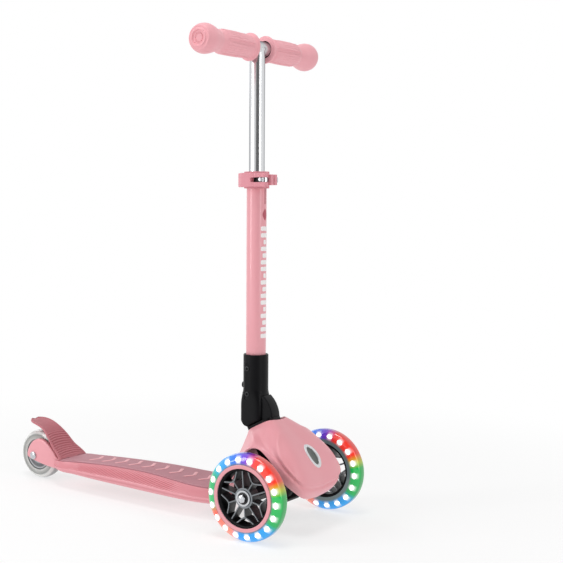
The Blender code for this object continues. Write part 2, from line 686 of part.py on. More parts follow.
def rim_point(degrees):
    """Rounded-square rim of the hood's opening round the neck."""
    c, s = math.cos(math.radians(degrees)), math.sin(math.radians(degrees))
    x = math.copysign(abs(c) ** 0.5, c) * RIM_HALF_L
    y = math.copysign(abs(s) ** 0.5, s) * RIM_HALF_W
    return neck_frame() @ Vector((RIM_FORWARD + x, y, -RIM_DROP))


def hood_rib(degrees, steps):
    flat = [(angle, [value for point in points for value in point]) for angle, points in HOOD_RIBS]
    values = blend(flat, degrees)
    controls = [rim_point(degrees)]
    for i in range(3):
        x, y, z = values[3 * i:3 * i + 3]
        controls.append(Vector((FRONT_X + x, max(y, 0.0), FRONT_WHEEL_R + z)))
    rib = []
    for step in range(steps + 1):
        t = step / steps
        weights = ((1 - t) ** 3, 3 * t * (1 - t) ** 2, 3 * t * t * (1 - t), t ** 3)
        rib.append(sum((w * c for w, c in zip(weights, controls)), Vector()))
    return rib


def hood():
    steps = 8
    half = [hood_rib(15.0 * i, steps) for i in range(13)]
    mirrored = [[Vector((p.x, -p.y, p.z)) for p in rib] for rib in reversed(half[1:-1])]
    around = half + mirrored
    rows = [[rib[i] for rib in around] for i in range(steps + 1)]
    shell = surface("hood", rows, True, pink_plastic)
    work = bmesh.new()
    work.from_mesh(shell.data)
    nose = [face for face in work.faces if face.calc_center_median().x > FRONT_X]
    if sum(face.normal.x for face in nose) < 0:
        bmesh.ops.reverse_faces(work, faces=work.faces)
    work.to_mesh(shell.data)
    work.free()
    thick = shell.modifiers.new("wall", "SOLIDIFY")
    thick.thickness = HOOD_WALL
    thick.offset = -1.0
    frame = lock_frame()
    border = (LOCK_HALF_L + RING_BORDER, LOCK_HALF_W + RING_BORDER)
    cut(shell, plate("ring_room", [oval(border[0] + GAP, border[1] + GAP, 28)], 0.02, frame))
    plate("button_ring", [oval(*border, 28), oval(LOCK_HALF_L + GAP, LOCK_HALF_W + GAP, 28)], RING_HALF_T,
          frame @ Matrix.Translation((0, 0, -RING_SINK)), silver_plastic)
    plate("steering_lock_button", [oval(LOCK_HALF_L, LOCK_HALF_W, 28)], LOCK_HALF_T,
          frame @ Matrix.Translation((0, 0, -LOCK_HALF_T)), grey_nylon)


def lock_frame():
    """On the hood's front, own Z out of the hood and own X down it."""
    point = hood_rib(0, 100)[42]
    return at(point.x, 0, point.z, math.pi / 2 - LOCK_TILT)


# ---- fold joint ----
def fold_neck():
    frame = neck_frame()
    depth = 0.060
    seat = FOLD_BOSS_R + GAP + 0.0001
    body = plate("fold_neck", [rounded(NECK_LENGTH / 2, CHEEK_OUTER - GAP, 0.010)], depth / 2,
                 frame @ Matrix.Translation((RIM_FORWARD, 0, -seat - depth / 2)), black_plastic)
    cut(body, block("neck_base", (FOLD_X - 0.1, -0.1, -0.1), (FOLD_X + 0.2, 0.1, NECK_BASE)))
    rear = -(FOLD_BOSS_R - 0.001)
    start = -math.degrees(math.asin(seat / FOLD_DISC_R)) + math.degrees(NECK_TILT)
    top = math.degrees(math.acos(rear / FOLD_DISC_R))
    side = arc(0, 0, FOLD_DISC_R, start, top, 12)
    side += arc(0, 0, -rear, 180, 270 + math.degrees(NECK_TILT) - 20, 6)
    root = [(-0.001, -seat - 0.006), (0.030, -seat - 0.006)]
    c, s = math.cos(NECK_TILT), math.sin(NECK_TILT)
    side += [(x * c - z * s, x * s + z * c) for x, z in root]
    disc = plate("neck_disc", [side], CHEEK_INNER - GAP, facing_y(FOLD_X, 0, FOLD_HEIGHT))
    join(body, disc)
    cut(body, rod("pin_bore", hole_r(FOLD_PIN_R, 16), -0.05, 0.05, along_y(FOLD_X, 0, FOLD_HEIGHT)))


def fold_socket():
    """Sleeve round the column's foot, with two cheeks that straddle the neck's disc."""
    frame = facing_y(FOLD_X, 0, FOLD_HEIGHT)
    rear = SLEEVE_R - FOLD_BEHIND_STEM
    front_x = SLEEVE_R + FOLD_BEHIND_STEM
    tilt = math.degrees(NECK_TILT)
    chord = -math.degrees(math.asin(FOLD_BOSS_R / FOLD_CHEEK_R)) + tilt
    meet = math.degrees(math.acos(front_x / FOLD_CHEEK_R))
    top = SLEEVE_LOW + 0.008 - FOLD_HEIGHT
    side = arc(0, 0, FOLD_CHEEK_R, chord, meet, 7) + [(front_x - 0.0006, top), (-rear + 0.0006, top)]
    side += arc(0, 0, FOLD_BOSS_R, 155, 270 + tilt, 8)
    sleeve_place = at(STEM_X, 0, 0)
    body = rod("fold_socket", SLEEVE_R, SLEEVE_LOW, SLEEVE_TOP, sleeve_place, black_plastic, 20)
    cheeks = plate("cheeks", [side], CHEEK_OUTER, frame)
    soften(cheeks, 0.0060)
    join(body, cheeks)
    pivot = along_y(FOLD_X, 0, FOLD_HEIGHT)
    cut(body, rod("disc_room", FOLD_DISC_R + 2 * GAP, -CHEEK_INNER, CHEEK_INNER, pivot, segments=36))
    cut(body, rod("tube_room", hole_r(TUBE_R, 24), SOCKET_FLOOR, SLEEVE_TOP + 0.1, sleeve_place, segments=24))
    cut(body, rod("pin_hole", hole_r(FOLD_PIN_R, 16), -0.05, 0.05, pivot))
    button_z = SOCKET_FLOOR - 0.0065
    into = at(STEM_X, 0, button_z, math.pi / 2)
    cut(body, rod("button_room", hole_r(BUTTON_R, 16), -0.05, -SLEEVE_R + BUTTON_IN + 0.0045, into))
    rod("fold_pin", FOLD_PIN_R, -CHEEK_OUTER, CHEEK_OUTER, pivot, steel)
    rod("fold_button", BUTTON_R, -SLEEVE_R - BUTTON_OUT, -SLEEVE_R + BUTTON_IN, into, grey_nylon)
    for name, z, seat, depth in (("upper", UPPER_SCREW_Z, SLEEVE_R - 0.0020, 0.0060),
                                 ("lower", LOWER_SCREW_Z, CHEEK_OUTER - 0.0015, 0.0050)):
        face = screw_frame(z)
        cut(body, rod("head_room", hole_r(SCREW_HEAD_R, 16), seat, 0.05, face))
        cut(body, rod("screw_hole", hole_r(SCREW_R, 12), seat - depth - GAP, 0.05, face, segments=12))
        bolt(f"socket_screw_{name}", SCREW_R, seat - depth, seat + GAP, face, steel, head=SCREW_HEAD_R,
             head_h=SCREW_HEAD_H)


def screw_frame(z):
    """On the rider's right of the sleeve, own Z out of it."""
    return along_y(STEM_X - 0.002, 0, z) @ Matrix.Rotation(math.pi, 4, "X")


# ---- column, clamp and bar ----
def column():
    place = at(STEM_X, 0, 0)
    bore = TUBE_R - TUBE_WALL
    tube = ring("outer_tube", TUBE_R, bore, SOCKET_FLOOR + GAP, COLLAR_TOP - 0.002, place, pink_metal, 24)
    cut(tube, block("slit", (STEM_X, -SLIT, COLLAR_LOW - 0.012), (STEM_X + 0.03, SLIT, COLLAR_TOP + 0.1)))
    screw = screw_frame(UPPER_SCREW_Z)
    cut(tube, rod("tube_screw_hole", hole_r(SCREW_R, 12), 0.005, 0.05, screw, segments=12))
    pin = at(STEM_X, 0, HEIGHT_PIN_Z, math.pi / 2)
    cut(tube, rod("height_hole", hole_r(HEIGHT_PIN_R, 16), -0.05, 0.0, pin))
    ring("guide_bush", bore - GAP, hole_r(BAR_R, 20), COLLAR_LOW, COLLAR_TOP - 0.003, place, black_plastic,
         20)
    rod("height_button", HEIGHT_PIN_R, -TUBE_R - 0.0022, -BAR_R + 0.0032, pin, steel)


def clamp():
    place = at(STEM_X, 0, 0)
    collar = ring("clamp_collar", COLLAR_R, hole_r(TUBE_R, 24), COLLAR_LOW, COLLAR_TOP, place,
                  dark_pink_plastic, 24)
    join(collar, block("ears", (STEM_X + COLLAR_R - 0.0028, -EAR_HALF_W, CLAMP_Z - EAR_HALF_H),
                       (CAM_X + EAR_HALF_H, EAR_HALF_W, CLAMP_Z + EAR_HALF_H)))
    cut(collar, block("ear_gap", (STEM_X + 0.005, -SLIT, COLLAR_LOW - 0.1),
                      (CAM_X + 0.02, SLIT, COLLAR_TOP + 0.1)))
    across = along_y(CAM_X, 0, CLAMP_Z)
    cut(collar, rod("ear_hole", hole_r(CLAMP_BOLT_R, 16), -0.05, 0.05, across))
    barrel = at(CAM_X, CAM_Y, CLAMP_Z)
    shank = rod("clamp_bolt", CLAMP_BOLT_R, CAM_Y + 0.003, EAR_HALF_W + 0.0060, across, steel)
    join(shank, rod("bolt_eye", EYE_R, -EYE_HALF, EYE_HALF, barrel))
    cut(shank, rod("eye_bore", hole_r(CAM_PIN_R, 12), -0.1, 0.1, barrel, segments=12))
    ring("clamp_nut", 0.0055, hole_r(CLAMP_BOLT_R, 16), EAR_HALF_W + GAP, EAR_HALF_W + 0.0055, across, steel, 12)
    inner, outer = COLLAR_R + LEVER_ROOM, COLLAR_R + LEVER_ROOM + LEVER_THICK
    strip = arc(0, 0, inner, -58, -178, 13)
    strip += [(-outer - 0.0045, -0.001)]
    strip += [(-outer * 1.17, -0.007)]
    strip += arc(0, 0, outer + 0.001, -150, -54, 10)
    lever = plate("clamp_lever", [strip], LEVER_HALF_H, at(STEM_X, 0, CLAMP_Z), dark_pink_plastic)
    join(lever, rod("cam", CAM_R, -LEVER_HALF_H, LEVER_HALF_H, barrel, segments=20))
    root = [(x + STEM_X, y) for x, y in (polar(outer + 0.0018, -64), polar(inner + 0.0013, -58.3))]
    neck = [(CAM_X - 0.001, CAM_Y + 0.002), (CAM_X - 0.001, CAM_Y - 0.0055), *root]
    join(lever, plate("cam_neck", [neck], LEVER_HALF_H, at(0, 0, CLAMP_Z)))
    cut(lever, rod("eye_room", EYE_R + 0.003, -EYE_HALF - 0.0004, EYE_HALF + 0.0004, barrel, segments=20))
    cut(lever, rod("cam_hole", hole_r(CAM_PIN_R, 12), -0.02, 0.02, barrel, segments=12))
    rod("cam_pin", CAM_PIN_R, -LEVER_HALF_H, LEVER_HALF_H, barrel, steel, 12)


def handlebar():
    place = at(STEM_X, 0, 0)
    inner, top = BAR_R - BAR_WALL, BAR_HEIGHT - 0.002
    tube = [(0.0, top), (BAR_R, top), (BAR_R, BAR_BOTTOM), (inner, BAR_BOTTOM), (inner, top - 0.003),
            (0.0, top - 0.003)]
    bar = turned("t_bar", tube, place, aluminium, 20)
    room = hole_r(HEIGHT_PIN_R, 16)
    for step in range(BAR_STEPS):
        z = HEIGHT_PIN_Z - BAR_TRAVEL * step / (BAR_STEPS - 1)
        cut(bar, rod("height_seat", room + 0.001, -0.05, -0.001, at(STEM_X, 0, z, math.pi / 2)))
    cut(bar, block("height_slot", (STEM_X - 0.02, -room, HEIGHT_PIN_Z - BAR_TRAVEL),
                   (STEM_X - 0.002, room, HEIGHT_PIN_Z)))
    across = along_y(STEM_X, 0, BAR_HEIGHT)
    turned_half_step = across @ Matrix.Rotation(math.pi / 20, 4, "Z")
    join(bar, rod("crossbar", BAR_R, -BAR_HALF, BAR_HALF, turned_half_step, segments=20))
    cut(bar, rod("cross_bore", inner, -0.2, 0.2, turned_half_step, segments=20))
    bore = TUBE_R - TUBE_WALL
    ring("lower_bush", bore - GAP, hole_r(BAR_R, 20), BAR_BOTTOM + 0.002, BAR_BOTTOM + 0.022, place, black_plastic, 20)
    thickness = [  # rubber over the bar, and how far from the grip's outer end
        (0.0039, 0.0), (0.0079, 0.0055), (KNOB, 0.0155), (0.0079, 0.0285), (0.0049, 0.0375), (0.0029, 0.0425),
        (0.0041, 0.0505), (0.0047, 0.0835)]
    profile = [(0.0, GRIP_END)] + [(BAR_R + wall, GRIP_END - down) for wall, down in thickness]
    profile += [(BAR_R + wall, GRIP_START + out) for wall, out in
                ((0.0039, 0.0120), (0.0041, 0.0060), (0.0067, 0.0035), (0.0067, 0.0))]
    bore = hole_r(BAR_R, 20)
    profile += [(bore, GRIP_START), (bore, BAR_HALF + GAP), (0.0, BAR_HALF + GAP)]
    for side, turn in (("left", 0.0), ("right", math.pi)):
        turned(f"grip_{side}", profile, across @ Matrix.Rotation(turn, 4, "X"), pink_rubber, 20)


def shade_round_parts():
    for obj in parts.objects:
        obj.data.shade_smooth()
        obj.data.set_sharp_from_angle(angle=math.radians(35))


clear_scene()
parts = collection("kick_scooter")
cutters = collection("cutters")

pink_plastic = material("pink_plastic", PINK, 0.35)
pink_metal = material("pink_painted_metal", PINK, 0.4)
pink_rubber = material("pink_rubber", PINK, 0.6)
dark_pink_plastic = material("dark_pink_plastic", DARK_PINK, 0.4)
dark_pink_mat = material("dark_pink_mat", DARK_PINK, 0.6)
black_plastic = material("black_plastic", BLACK, 0.45)
black_steel = material("black_steel", BLACK, 0.5)
grey_nylon = material("grey_nylon", GREY, 0.45)
rubber = material("rubber", BLACK, 0.8)
silver_plastic = material("silver_plastic", SILVER, 0.3)
steel = material("steel", SILVER, 0.25, 1.0)
aluminium = material("aluminium", SILVER, 0.3, 1.0)
clear_pu = material("clear_polyurethane", CLEAR, 0.15)
led_white = material("led_white", (0.95, 0.95, 0.95), 0.3)

front_wheel("right", -1)
front_wheel("left", 1)
rear_wheel()
deck_base()
deck_mat()
brake()
truck()
chassis()
hood()
fold_neck()
fold_socket()
column()
clamp()
handlebar()
shade_round_parts()
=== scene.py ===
# Looks of a three-wheeled folding kick scooter for small children, with light-up front wheels.
# In metres: +X forward, +Z up, -Y the rider's right. Every piece is a numpy surface worked out round the
# sizes and places of the CAD frame.
import math

import bmesh
import bpy
import numpy as np
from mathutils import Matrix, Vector


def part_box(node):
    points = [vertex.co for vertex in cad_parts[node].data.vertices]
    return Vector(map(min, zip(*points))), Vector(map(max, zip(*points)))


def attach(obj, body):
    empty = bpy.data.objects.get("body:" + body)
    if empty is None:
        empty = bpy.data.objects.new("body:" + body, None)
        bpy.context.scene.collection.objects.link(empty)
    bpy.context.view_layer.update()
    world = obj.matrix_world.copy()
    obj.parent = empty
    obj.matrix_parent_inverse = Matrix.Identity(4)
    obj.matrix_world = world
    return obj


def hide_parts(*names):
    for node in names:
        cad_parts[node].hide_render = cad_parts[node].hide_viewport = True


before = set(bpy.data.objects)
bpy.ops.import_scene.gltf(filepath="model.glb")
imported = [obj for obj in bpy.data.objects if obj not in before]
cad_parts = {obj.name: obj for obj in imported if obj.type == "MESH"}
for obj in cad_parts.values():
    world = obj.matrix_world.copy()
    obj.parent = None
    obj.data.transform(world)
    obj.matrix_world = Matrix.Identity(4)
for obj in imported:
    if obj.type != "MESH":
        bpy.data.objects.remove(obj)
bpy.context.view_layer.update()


def linear(hexColour):
    # sRGB to linear light: c / 12.92 below 0.04045, else ((c + 0.055) / 1.055) to the power 2.4
    parts = [int(hexColour[i:i + 2], 16) / 255 for i in (1, 3, 5)]
    light = [c / 12.92 if c <= 0.04045 else ((c + 0.055) / 1.055) ** 2.4 for c in parts]
    return (*light, 1.0)


def addNode(tree, kind, settings=None, links=None):
    # One node, with its settings by socket or property name and its links by socket
    node = tree.nodes.new(kind)
    for key, value in (settings or {}).items():
        if isinstance(key, int) or key in node.inputs:
            node.inputs[key].default_value = value
        else:
            setattr(node, key, value)
    for key, source in (links or {}).items():
        tree.links.new(source, node.inputs[key])
    return node


def plainMaterial(name, colour, roughness, metallic=0.0, **more):
    # A Principled surface; `more` sets further sockets, with _ for a space
    material = bpy.data.materials.new(name)
    material.use_nodes = True
    tree = material.node_tree
    shader = tree.nodes["Principled BSDF"]
    shader.inputs["Base Color"].default_value = linear(colour)
    shader.inputs["Roughness"].default_value = roughness
    shader.inputs["Metallic"].default_value = metallic
    for key, value in more.items():
        shader.inputs[key.replace("_", " ")].default_value = value
    place = addNode(tree, "ShaderNodeTexCoord").outputs["Object"]
    return material, tree, shader, place


def grain(tree, shader, place, size, height, strength, stretch=(1, 1, 1)):
    # Noise of one grain per `size` metres as bump, drawn out along an axis by `stretch`
    spread = addNode(tree, "ShaderNodeMapping", {"Scale": stretch}, {"Vector": place})
    noise = addNode(tree, "ShaderNodeTexNoise", {"Scale": 1 / size, "Detail": 2.0},
                    {"Vector": spread.outputs[0]})
    bump = addNode(tree, "ShaderNodeBump", {"Strength": strength, "Distance": height},
                   {"Height": noise.outputs["Fac"]})
    tree.links.new(bump.outputs[0], shader.inputs["Normal"])


def mottle(tree, shader, place, size, colourA, colourB, roughA, roughB):
    # Colour and roughness drift slowly over the surface, one patch per `size` metres
    noise = addNode(tree, "ShaderNodeTexNoise", {"Scale": 1 / size, "Detail": 3.0}, {"Vector": place})
    ramp = addNode(tree, "ShaderNodeValToRGB", {}, {"Fac": noise.outputs["Fac"]})
    for stop, position, colour in zip(ramp.color_ramp.elements, (0.3, 0.7), (colourA, colourB)):
        stop.position = position
        stop.color = linear(colour)
    tree.links.new(ramp.outputs["Color"], shader.inputs["Base Color"])
    rough = addNode(tree, "ShaderNodeMapRange", {"To Min": roughA, "To Max": roughB},
                    {"Value": noise.outputs["Fac"]})
    tree.links.new(rough.outputs[0], shader.inputs["Roughness"])


def through(keys, t):
    # Catmull-Rom: cubics between keys, with the slope at a key that of the line between its neighbours
    knots = np.array([key[0] for key in keys], float)
    values = np.array([key[1] for key in keys], float)
    order = np.arange(len(knots))
    ahead, behind = np.minimum(order + 1, order[-1]), np.maximum(order - 1, 0)
    slopes = (values[ahead] - values[behind]) / (knots[ahead] - knots[behind])[:, None]
    t = np.atleast_1d(np.asarray(t, float))
    i = np.clip(np.searchsorted(knots, t, side="right") - 1, 0, order[-1] - 1)
    span = (knots[i + 1] - knots[i])[:, None]
    u = (t[:, None] - knots[i][:, None]) / span
    a, b = values[i], values[i + 1]
    leaving, arriving = slopes[i] * span, slopes[i + 1] * span
    return (a + u * leaving + u ** 2 * (3 * (b - a) - 2 * leaving - arriving)
            + u ** 3 * (2 * (a - b) + leaving + arriving))


def eased(corners, fillet, steps=5, closed=False):
    # Each corner becomes a parabola between the points `fillet` away along its two edges
    corners = np.array(corners, float)
    fillets = np.broadcast_to(fillet, len(corners))
    out = []
    for i, corner in enumerate(corners):
        ends = i in (0, len(corners) - 1) and not closed
        if ends or fillets[i] == 0:
            out.append(corner[None])
            continue
        before, after = corners[i - 1] - corner, corners[(i + 1) % len(corners)] - corner
        a = corner + before * min(0.49, fillets[i] / max(np.linalg.norm(before), 1e-9))
        b = corner + after * min(0.49, fillets[i] / max(np.linalg.norm(after), 1e-9))
        t = np.linspace(0, 1, steps)[:, None]
        out.append((1 - t) ** 2 * a + 2 * t * (1 - t) * corner + t ** 2 * b)
    return np.vstack(out)


def smoothLoop(points, count):
    # A closed Catmull-Rom curve through the points, in `count` even steps of its parameter
    wrapped = [points[-2], points[-1], *points, points[0], points[1]]
    keys = [(i - 2, p) for i, p in enumerate(wrapped)]
    return through(keys, np.linspace(0, len(points), count, endpoint=False))


def step(x, low, high):
    # Smoothstep from 0 at low to 1 at high
    t = np.clip((x - low) / (high - low), 0, 1)
    return t * t * (3 - 2 * t)


def bell(x, middle, width):
    # A Gaussian bump: e to the power minus the square of (x - middle) / width
    return np.exp(-((x - middle) / width) ** 2)


def angles(count):
    # Even steps of one full turn, in radians
    return np.linspace(0, 2 * np.pi, count, endpoint=False)


def turnedGrid(profile, centre, axis, segments, closed=False):
    # Rows of (radius, height) carried round the axis: y for wheels, z for the column
    radius, height = np.array(profile, float).T[:, :, None]
    turn = angles(segments)[None, :]
    a, b, h = radius * np.cos(turn), radius * np.sin(turn), height + 0 * turn
    around = (a, h, b) if axis == "y" else (a, b, h)
    return {"at": np.stack(around, -1) + np.array(centre), "closedRows": closed}


def sweptGrid(path, section, out):
    # A section of (side, out) points carried along a path; side is the path's direction crossed with `out`
    path, section, out = np.array(path, float), np.array(section, float), np.array(out, float)
    ahead = np.gradient(path, axis=0)
    ahead /= np.linalg.norm(ahead, axis=1, keepdims=True)
    outs = np.broadcast_to(out, path.shape)
    sides = np.cross(ahead, outs)
    sides /= np.linalg.norm(sides, axis=1, keepdims=True)
    at = path[:, None] + section[None, :, :1] * sides[:, None] + section[None, :, 1:] * outs[:, None]
    return {"at": at, "caps": True}


def superellipse(halfA, halfB, power, count):
    # |a/halfA| to the power plus |b/halfB| to the power is 1
    turn = angles(count)
    c, s = np.cos(turn), np.sin(turn)
    return np.stack([halfA * np.sign(c) * np.abs(c) ** (2 / power),
                     halfB * np.sign(s) * np.abs(s) ** (2 / power)], -1)


def padGrid(outline, low, high, edge, place, dome=0.0, edgeSteps=5):
    # A flat outline as a plate from low to high: its rim is a rounded edge, and each face rises by `dome`
    # towards the middle, as the square root of the way in. `place` maps (a, b, height) to the row frame.
    outline = np.array(outline, float)
    middle = outline.mean(0)
    ahead = np.roll(outline, -1, 0) - np.roll(outline, 1, 0)
    normal = np.stack([ahead[:, 1], -ahead[:, 0]], -1)
    normal /= np.linalg.norm(normal, axis=1, keepdims=True)
    area = np.sum(outline[:, 0] * np.roll(outline[:, 1], -1) - outline[:, 1] * np.roll(outline[:, 0], -1))
    normal *= np.sign(area)
    rows = []

    def face(height, way):
        turn = np.linspace(0, np.pi / 2, edgeSteps)
        half = [(outline - normal * edge * (1 - math.cos(t)), height - way * edge * (1 - math.sin(t)))
                for t in turn]
        inner = outline - normal * edge
        for share in (0.85, 0.65, 0.4, 0.18, 0.0):
            half.append((middle + (inner - middle) * share, height + way * dome * math.sqrt(1 - share)))
        return half

    rows += reversed(face(low, -1))
    rows += face(high, 1)
    grid = np.array([np.column_stack([flat, np.full(len(flat), h)]) for flat, h in rows])
    return {"at": place(grid)}


def meshOf(name, grids):
    # Quads between neighbouring points of each grid, merged where rows meet at a pole or a seam
    points, faces, first = [], [], 0
    for grid in grids:
        rows, cols = grid["at"].shape[:2]
        index = first + np.arange(rows * cols).reshape(rows, cols)
        ends = [index[0].tolist(), index[-1].tolist()]
        if grid.get("closedRows"):
            index = np.vstack([index, index[:1]])
        if not grid.get("open"):
            index = np.hstack([index, index[:, :1]])
        quads = np.stack([index[:-1, :-1], index[:-1, 1:], index[1:, 1:], index[1:, :-1]], -1)
        faces += quads.reshape(-1, 4).tolist()
        if grid.get("caps"):
            faces += ends
        points.append(grid["at"].reshape(-1, 3))
        first += rows * cols
    mesh = bpy.data.meshes.new(name)
    mesh.from_pydata(np.vstack(points).tolist(), [], faces)
    tidyMesh(mesh, True)
    return mesh


def tidyMesh(mesh, turnOut=False):
    # Doubles merged and slivers dissolved, then the faces turned outwards if asked
    work = bmesh.new()
    work.from_mesh(mesh)
    bmesh.ops.remove_doubles(work, verts=work.verts, dist=0.000002)
    bmesh.ops.dissolve_degenerate(work, edges=work.edges, dist=0.0000005)
    if turnOut:
        bmesh.ops.recalc_face_normals(work, faces=work.faces)
    work.to_mesh(mesh)
    work.free()


def addPiece(name, mesh, material, body, slot, replaces=(), sharp=35):
    # A finished mesh as a piece on a body; edges over `sharp` degrees stay crisp
    mesh.materials.clear()
    mesh.materials.append(material)
    mesh.shade_smooth()
    mesh.set_sharp_from_angle(angle=math.radians(sharp))
    piece = bpy.data.objects.new(name, mesh)
    bpy.context.scene.collection.objects.link(piece)
    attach(piece, body)
    if replaces:
        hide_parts(*replaces)


def shape(name, grids, material, body, slot, replaces=(), sharp=35):
    addPiece(name, meshOf(name, grids), material, body, slot, replaces, sharp)


def applied(mesh, *changes):
    # The mesh after these modifiers, each a kind with its settings
    holder = bpy.data.objects.new("work", mesh)
    bpy.context.scene.collection.objects.link(holder)
    helpers = []
    for kind, settings in changes:
        modifier = holder.modifiers.new(kind, kind)
        for key, value in settings.items():
            if isinstance(value, bpy.types.Mesh):
                helper = bpy.data.objects.new("cutter", value)
                bpy.context.scene.collection.objects.link(helper)
                helpers.append(helper)
                value = helper
            setattr(modifier, key, value)
    graph = bpy.context.evaluated_depsgraph_get()
    result = bpy.data.meshes.new_from_object(holder.evaluated_get(graph))
    for extra in [holder, *helpers]:
        bpy.data.objects.remove(extra, do_unlink=True)
    return result


def cutBy(mesh, *cutters):
    # The mesh less each cutter's volume
    for cutter in cutters:
        mesh = applied(mesh, ("BOOLEAN", {"operation": "DIFFERENCE", "solver": "EXACT", "object": cutter}))
    return mesh


def softCopy(node, voxel, rounds):
    # The CAD node's own shape with rounded edges: even voxels, then each point drawn to its neighbours' mean
    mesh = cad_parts[node].data.copy()
    tidyMesh(mesh)
    return applied(mesh, ("REMESH", {"mode": "VOXEL", "voxel_size": voxel}),
                   ("SMOOTH", {"factor": 0.5, "iterations": rounds}))


def middleOf(node):
    # The middle of a CAD node's box
    low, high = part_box(node)
    return (np.array(low) + np.array(high)) / 2


def along(axis, centre):
    # Places (a, b, height) with the height along an axis: y across the scooter, -x back from the column
    def place(grid):
        a, b, h = grid[..., 0], grid[..., 1], grid[..., 2]
        parts = {"y": (a, h, b), "-y": (a, -h, b), "-x": (-h, a, b)}[axis]
        return np.stack(parts, -1) + np.array(centre)
    return place


def ringProfile(outer, inner, low, high, edge=0.0005):
    # A tube's wall as a closed loop with eased edges
    return eased([(outer, low), (outer, high), (inner, high), (inner, low)], edge, 4, closed=True)


def hexHead(radius, low, high, axis, centre, turnBy=0.0):
    # A six-sided bolt head with a rounded top edge and a slight dome
    turns = [math.radians(60 * k + turnBy) for k in range(6)]
    corners = [(radius * math.cos(a), radius * math.sin(a)) for a in turns]
    outline = eased(corners, radius * 0.18, 6, closed=True)
    return padGrid(outline, low, high, radius * 0.2, along(axis, centre), radius * 0.12)


def paintGrooveShade(tree, shader, grooveShadeColour):
    # Painted shade in the grooves: the base colour is multiplied by a darker tint where the surface is concave
    base = shader.inputs["Base Color"].links[0].from_socket
    bend = addNode(tree, "ShaderNodeNewGeometry").outputs["Pointiness"]
    raised = addNode(tree, "ShaderNodeMapRange", {"From Min": 0.46, "From Max": 0.52}, {"Value": bend})
    tint = addNode(tree, "ShaderNodeMix", {"data_type": "RGBA", 6: linear(grooveShadeColour), 7: linear("#FFFFFF")},
                   {0: raised.outputs[0]})
    shadedColour = addNode(tree, "ShaderNodeMix", {"data_type": "RGBA", "blend_type": "MULTIPLY", 0: 1.0},
                   {6: base, 7: tint.outputs[2]})
    tree.links.new(shadedColour.outputs[2], shader.inputs["Base Color"])


def variedFinish(name, colours, roughness, patch, skin=None, grooveShade=None, **more):
    # Colour and roughness drift between two values over `patch` metres; `skin` is the size, height and strength
    # of a fine grain, and the last argument, if given, is the colour of painted shade in its grooves
    material, tree, shader, place = plainMaterial(name, colours[0], roughness[0], **more)
    mottle(tree, shader, place, patch, *colours, *roughness)
    if skin:
        grain(tree, shader, place, *skin)
    if grooveShade:
        paintGrooveShade(tree, shader, grooveShade)
    return material


def brushedAluminium():
    # Drawn and anodised aluminium: bright satin with hairlines along the bar, dimmer where it turns away
    material, tree, shader, place = plainMaterial("brushed anodised aluminium", "#D9DADC", 0.22, 1.0,
                                                  Anisotropic=0.4, Specular_Tint=linear("#7C7E82"))
    grain(tree, shader, place, 0.0005, 0.00002, 0.03, stretch=(1, 1, 0.02))
    return material


def satinSilver():
    # Silver lacquer over plastic: half metallic, with a fine skin
    material, tree, shader, place = plainMaterial("satin silver paint", "#D8D9DB", 0.3, 0.35)
    grain(tree, shader, place, 0.0006, 0.00003, 0.2)
    return material


def greyNylon(name, paintedHighlightColour, paintedShadeColour, wheel, facing, band):
    # Grey nylon hub: painted highlight on edges at the wheel's face, painted shade deeper in the pockets
    material, tree, shader, place = plainMaterial(name, paintedShadeColour, 0.38, IOR=1.53)
    split = addNode(tree, "ShaderNodeSeparateXYZ", {}, {"Vector": place})
    off = addNode(tree, "ShaderNodeMath", {"operation": "SUBTRACT", 1: float(wheel[1])},
                  {0: split.outputs["Y"]})
    depth = addNode(tree, "ShaderNodeMath", {"operation": "ABSOLUTE"}, {0: off.outputs[0]})
    face = addNode(tree, "ShaderNodeMapRange", {"From Min": facing - band, "From Max": facing},
                   {"Value": depth.outputs[0]})
    ramp = addNode(tree, "ShaderNodeValToRGB", {}, {"Fac": face.outputs[0]})
    for stop, colour in zip(ramp.color_ramp.elements, (paintedShadeColour, paintedHighlightColour)):
        stop.color = linear(colour)
    tree.links.new(ramp.outputs["Color"], shader.inputs["Base Color"])
    grain(tree, shader, place, 0.0007, 0.00004, 0.2)
    return material


glow = {
    "ledCount": 18, "ledRadius": 0.0522, "ledPhase": 12.0, "ledHalfLong": 0.0045, "ledHalfWide": 0.0030,
    "emission": 0.3, "ledEmission": 1.2, "coolTone": "#5F6E70", "treadShadeTint": "#D2D2D6",
    # clockwise degrees from the top, seen from the rider's right, and the colour of the light there
    "colours": [(4, "#6A3FC8"), (20, "#E8392F"), (60, "#EE3A2A"), (72, "#B8C62E"), (80, "#16B24E"),
                (122, "#0FA552"), (134, "#1597DE"), (186, "#1C93E0"), (200, "#F08A78"), (240, "#E8604E"),
                (256, "#3CB56A"), (296, "#22A866"), (312, "#2AA9E0"), (350, "#2D63D8")],
}


def clockNodes(tree, place, axle):
    # Round a wheel: the clock angle in radians, the same as 0 to 1, and the radius
    flat = addNode(tree, "ShaderNodeMapping", {"Location": (-axle[0], 0, -axle[2]), "Scale": (1, 0, 1)},
                   {"Vector": place})
    split = addNode(tree, "ShaderNodeSeparateXYZ", {}, {"Vector": flat.outputs[0]})
    turn = addNode(tree, "ShaderNodeMath", {"operation": "ARCTAN2"},
                   {0: split.outputs["X"], 1: split.outputs["Z"]})
    share = addNode(tree, "ShaderNodeMath", {"operation": "DIVIDE", 1: 2 * math.pi}, {0: turn.outputs[0]})
    clock = addNode(tree, "ShaderNodeMath", {"operation": "FRACT"}, {0: share.outputs[0]})
    radius = addNode(tree, "ShaderNodeVectorMath", {"operation": "LENGTH"}, {0: flat.outputs[0]})
    return turn.outputs[0], clock.outputs[0], radius.outputs["Value"]


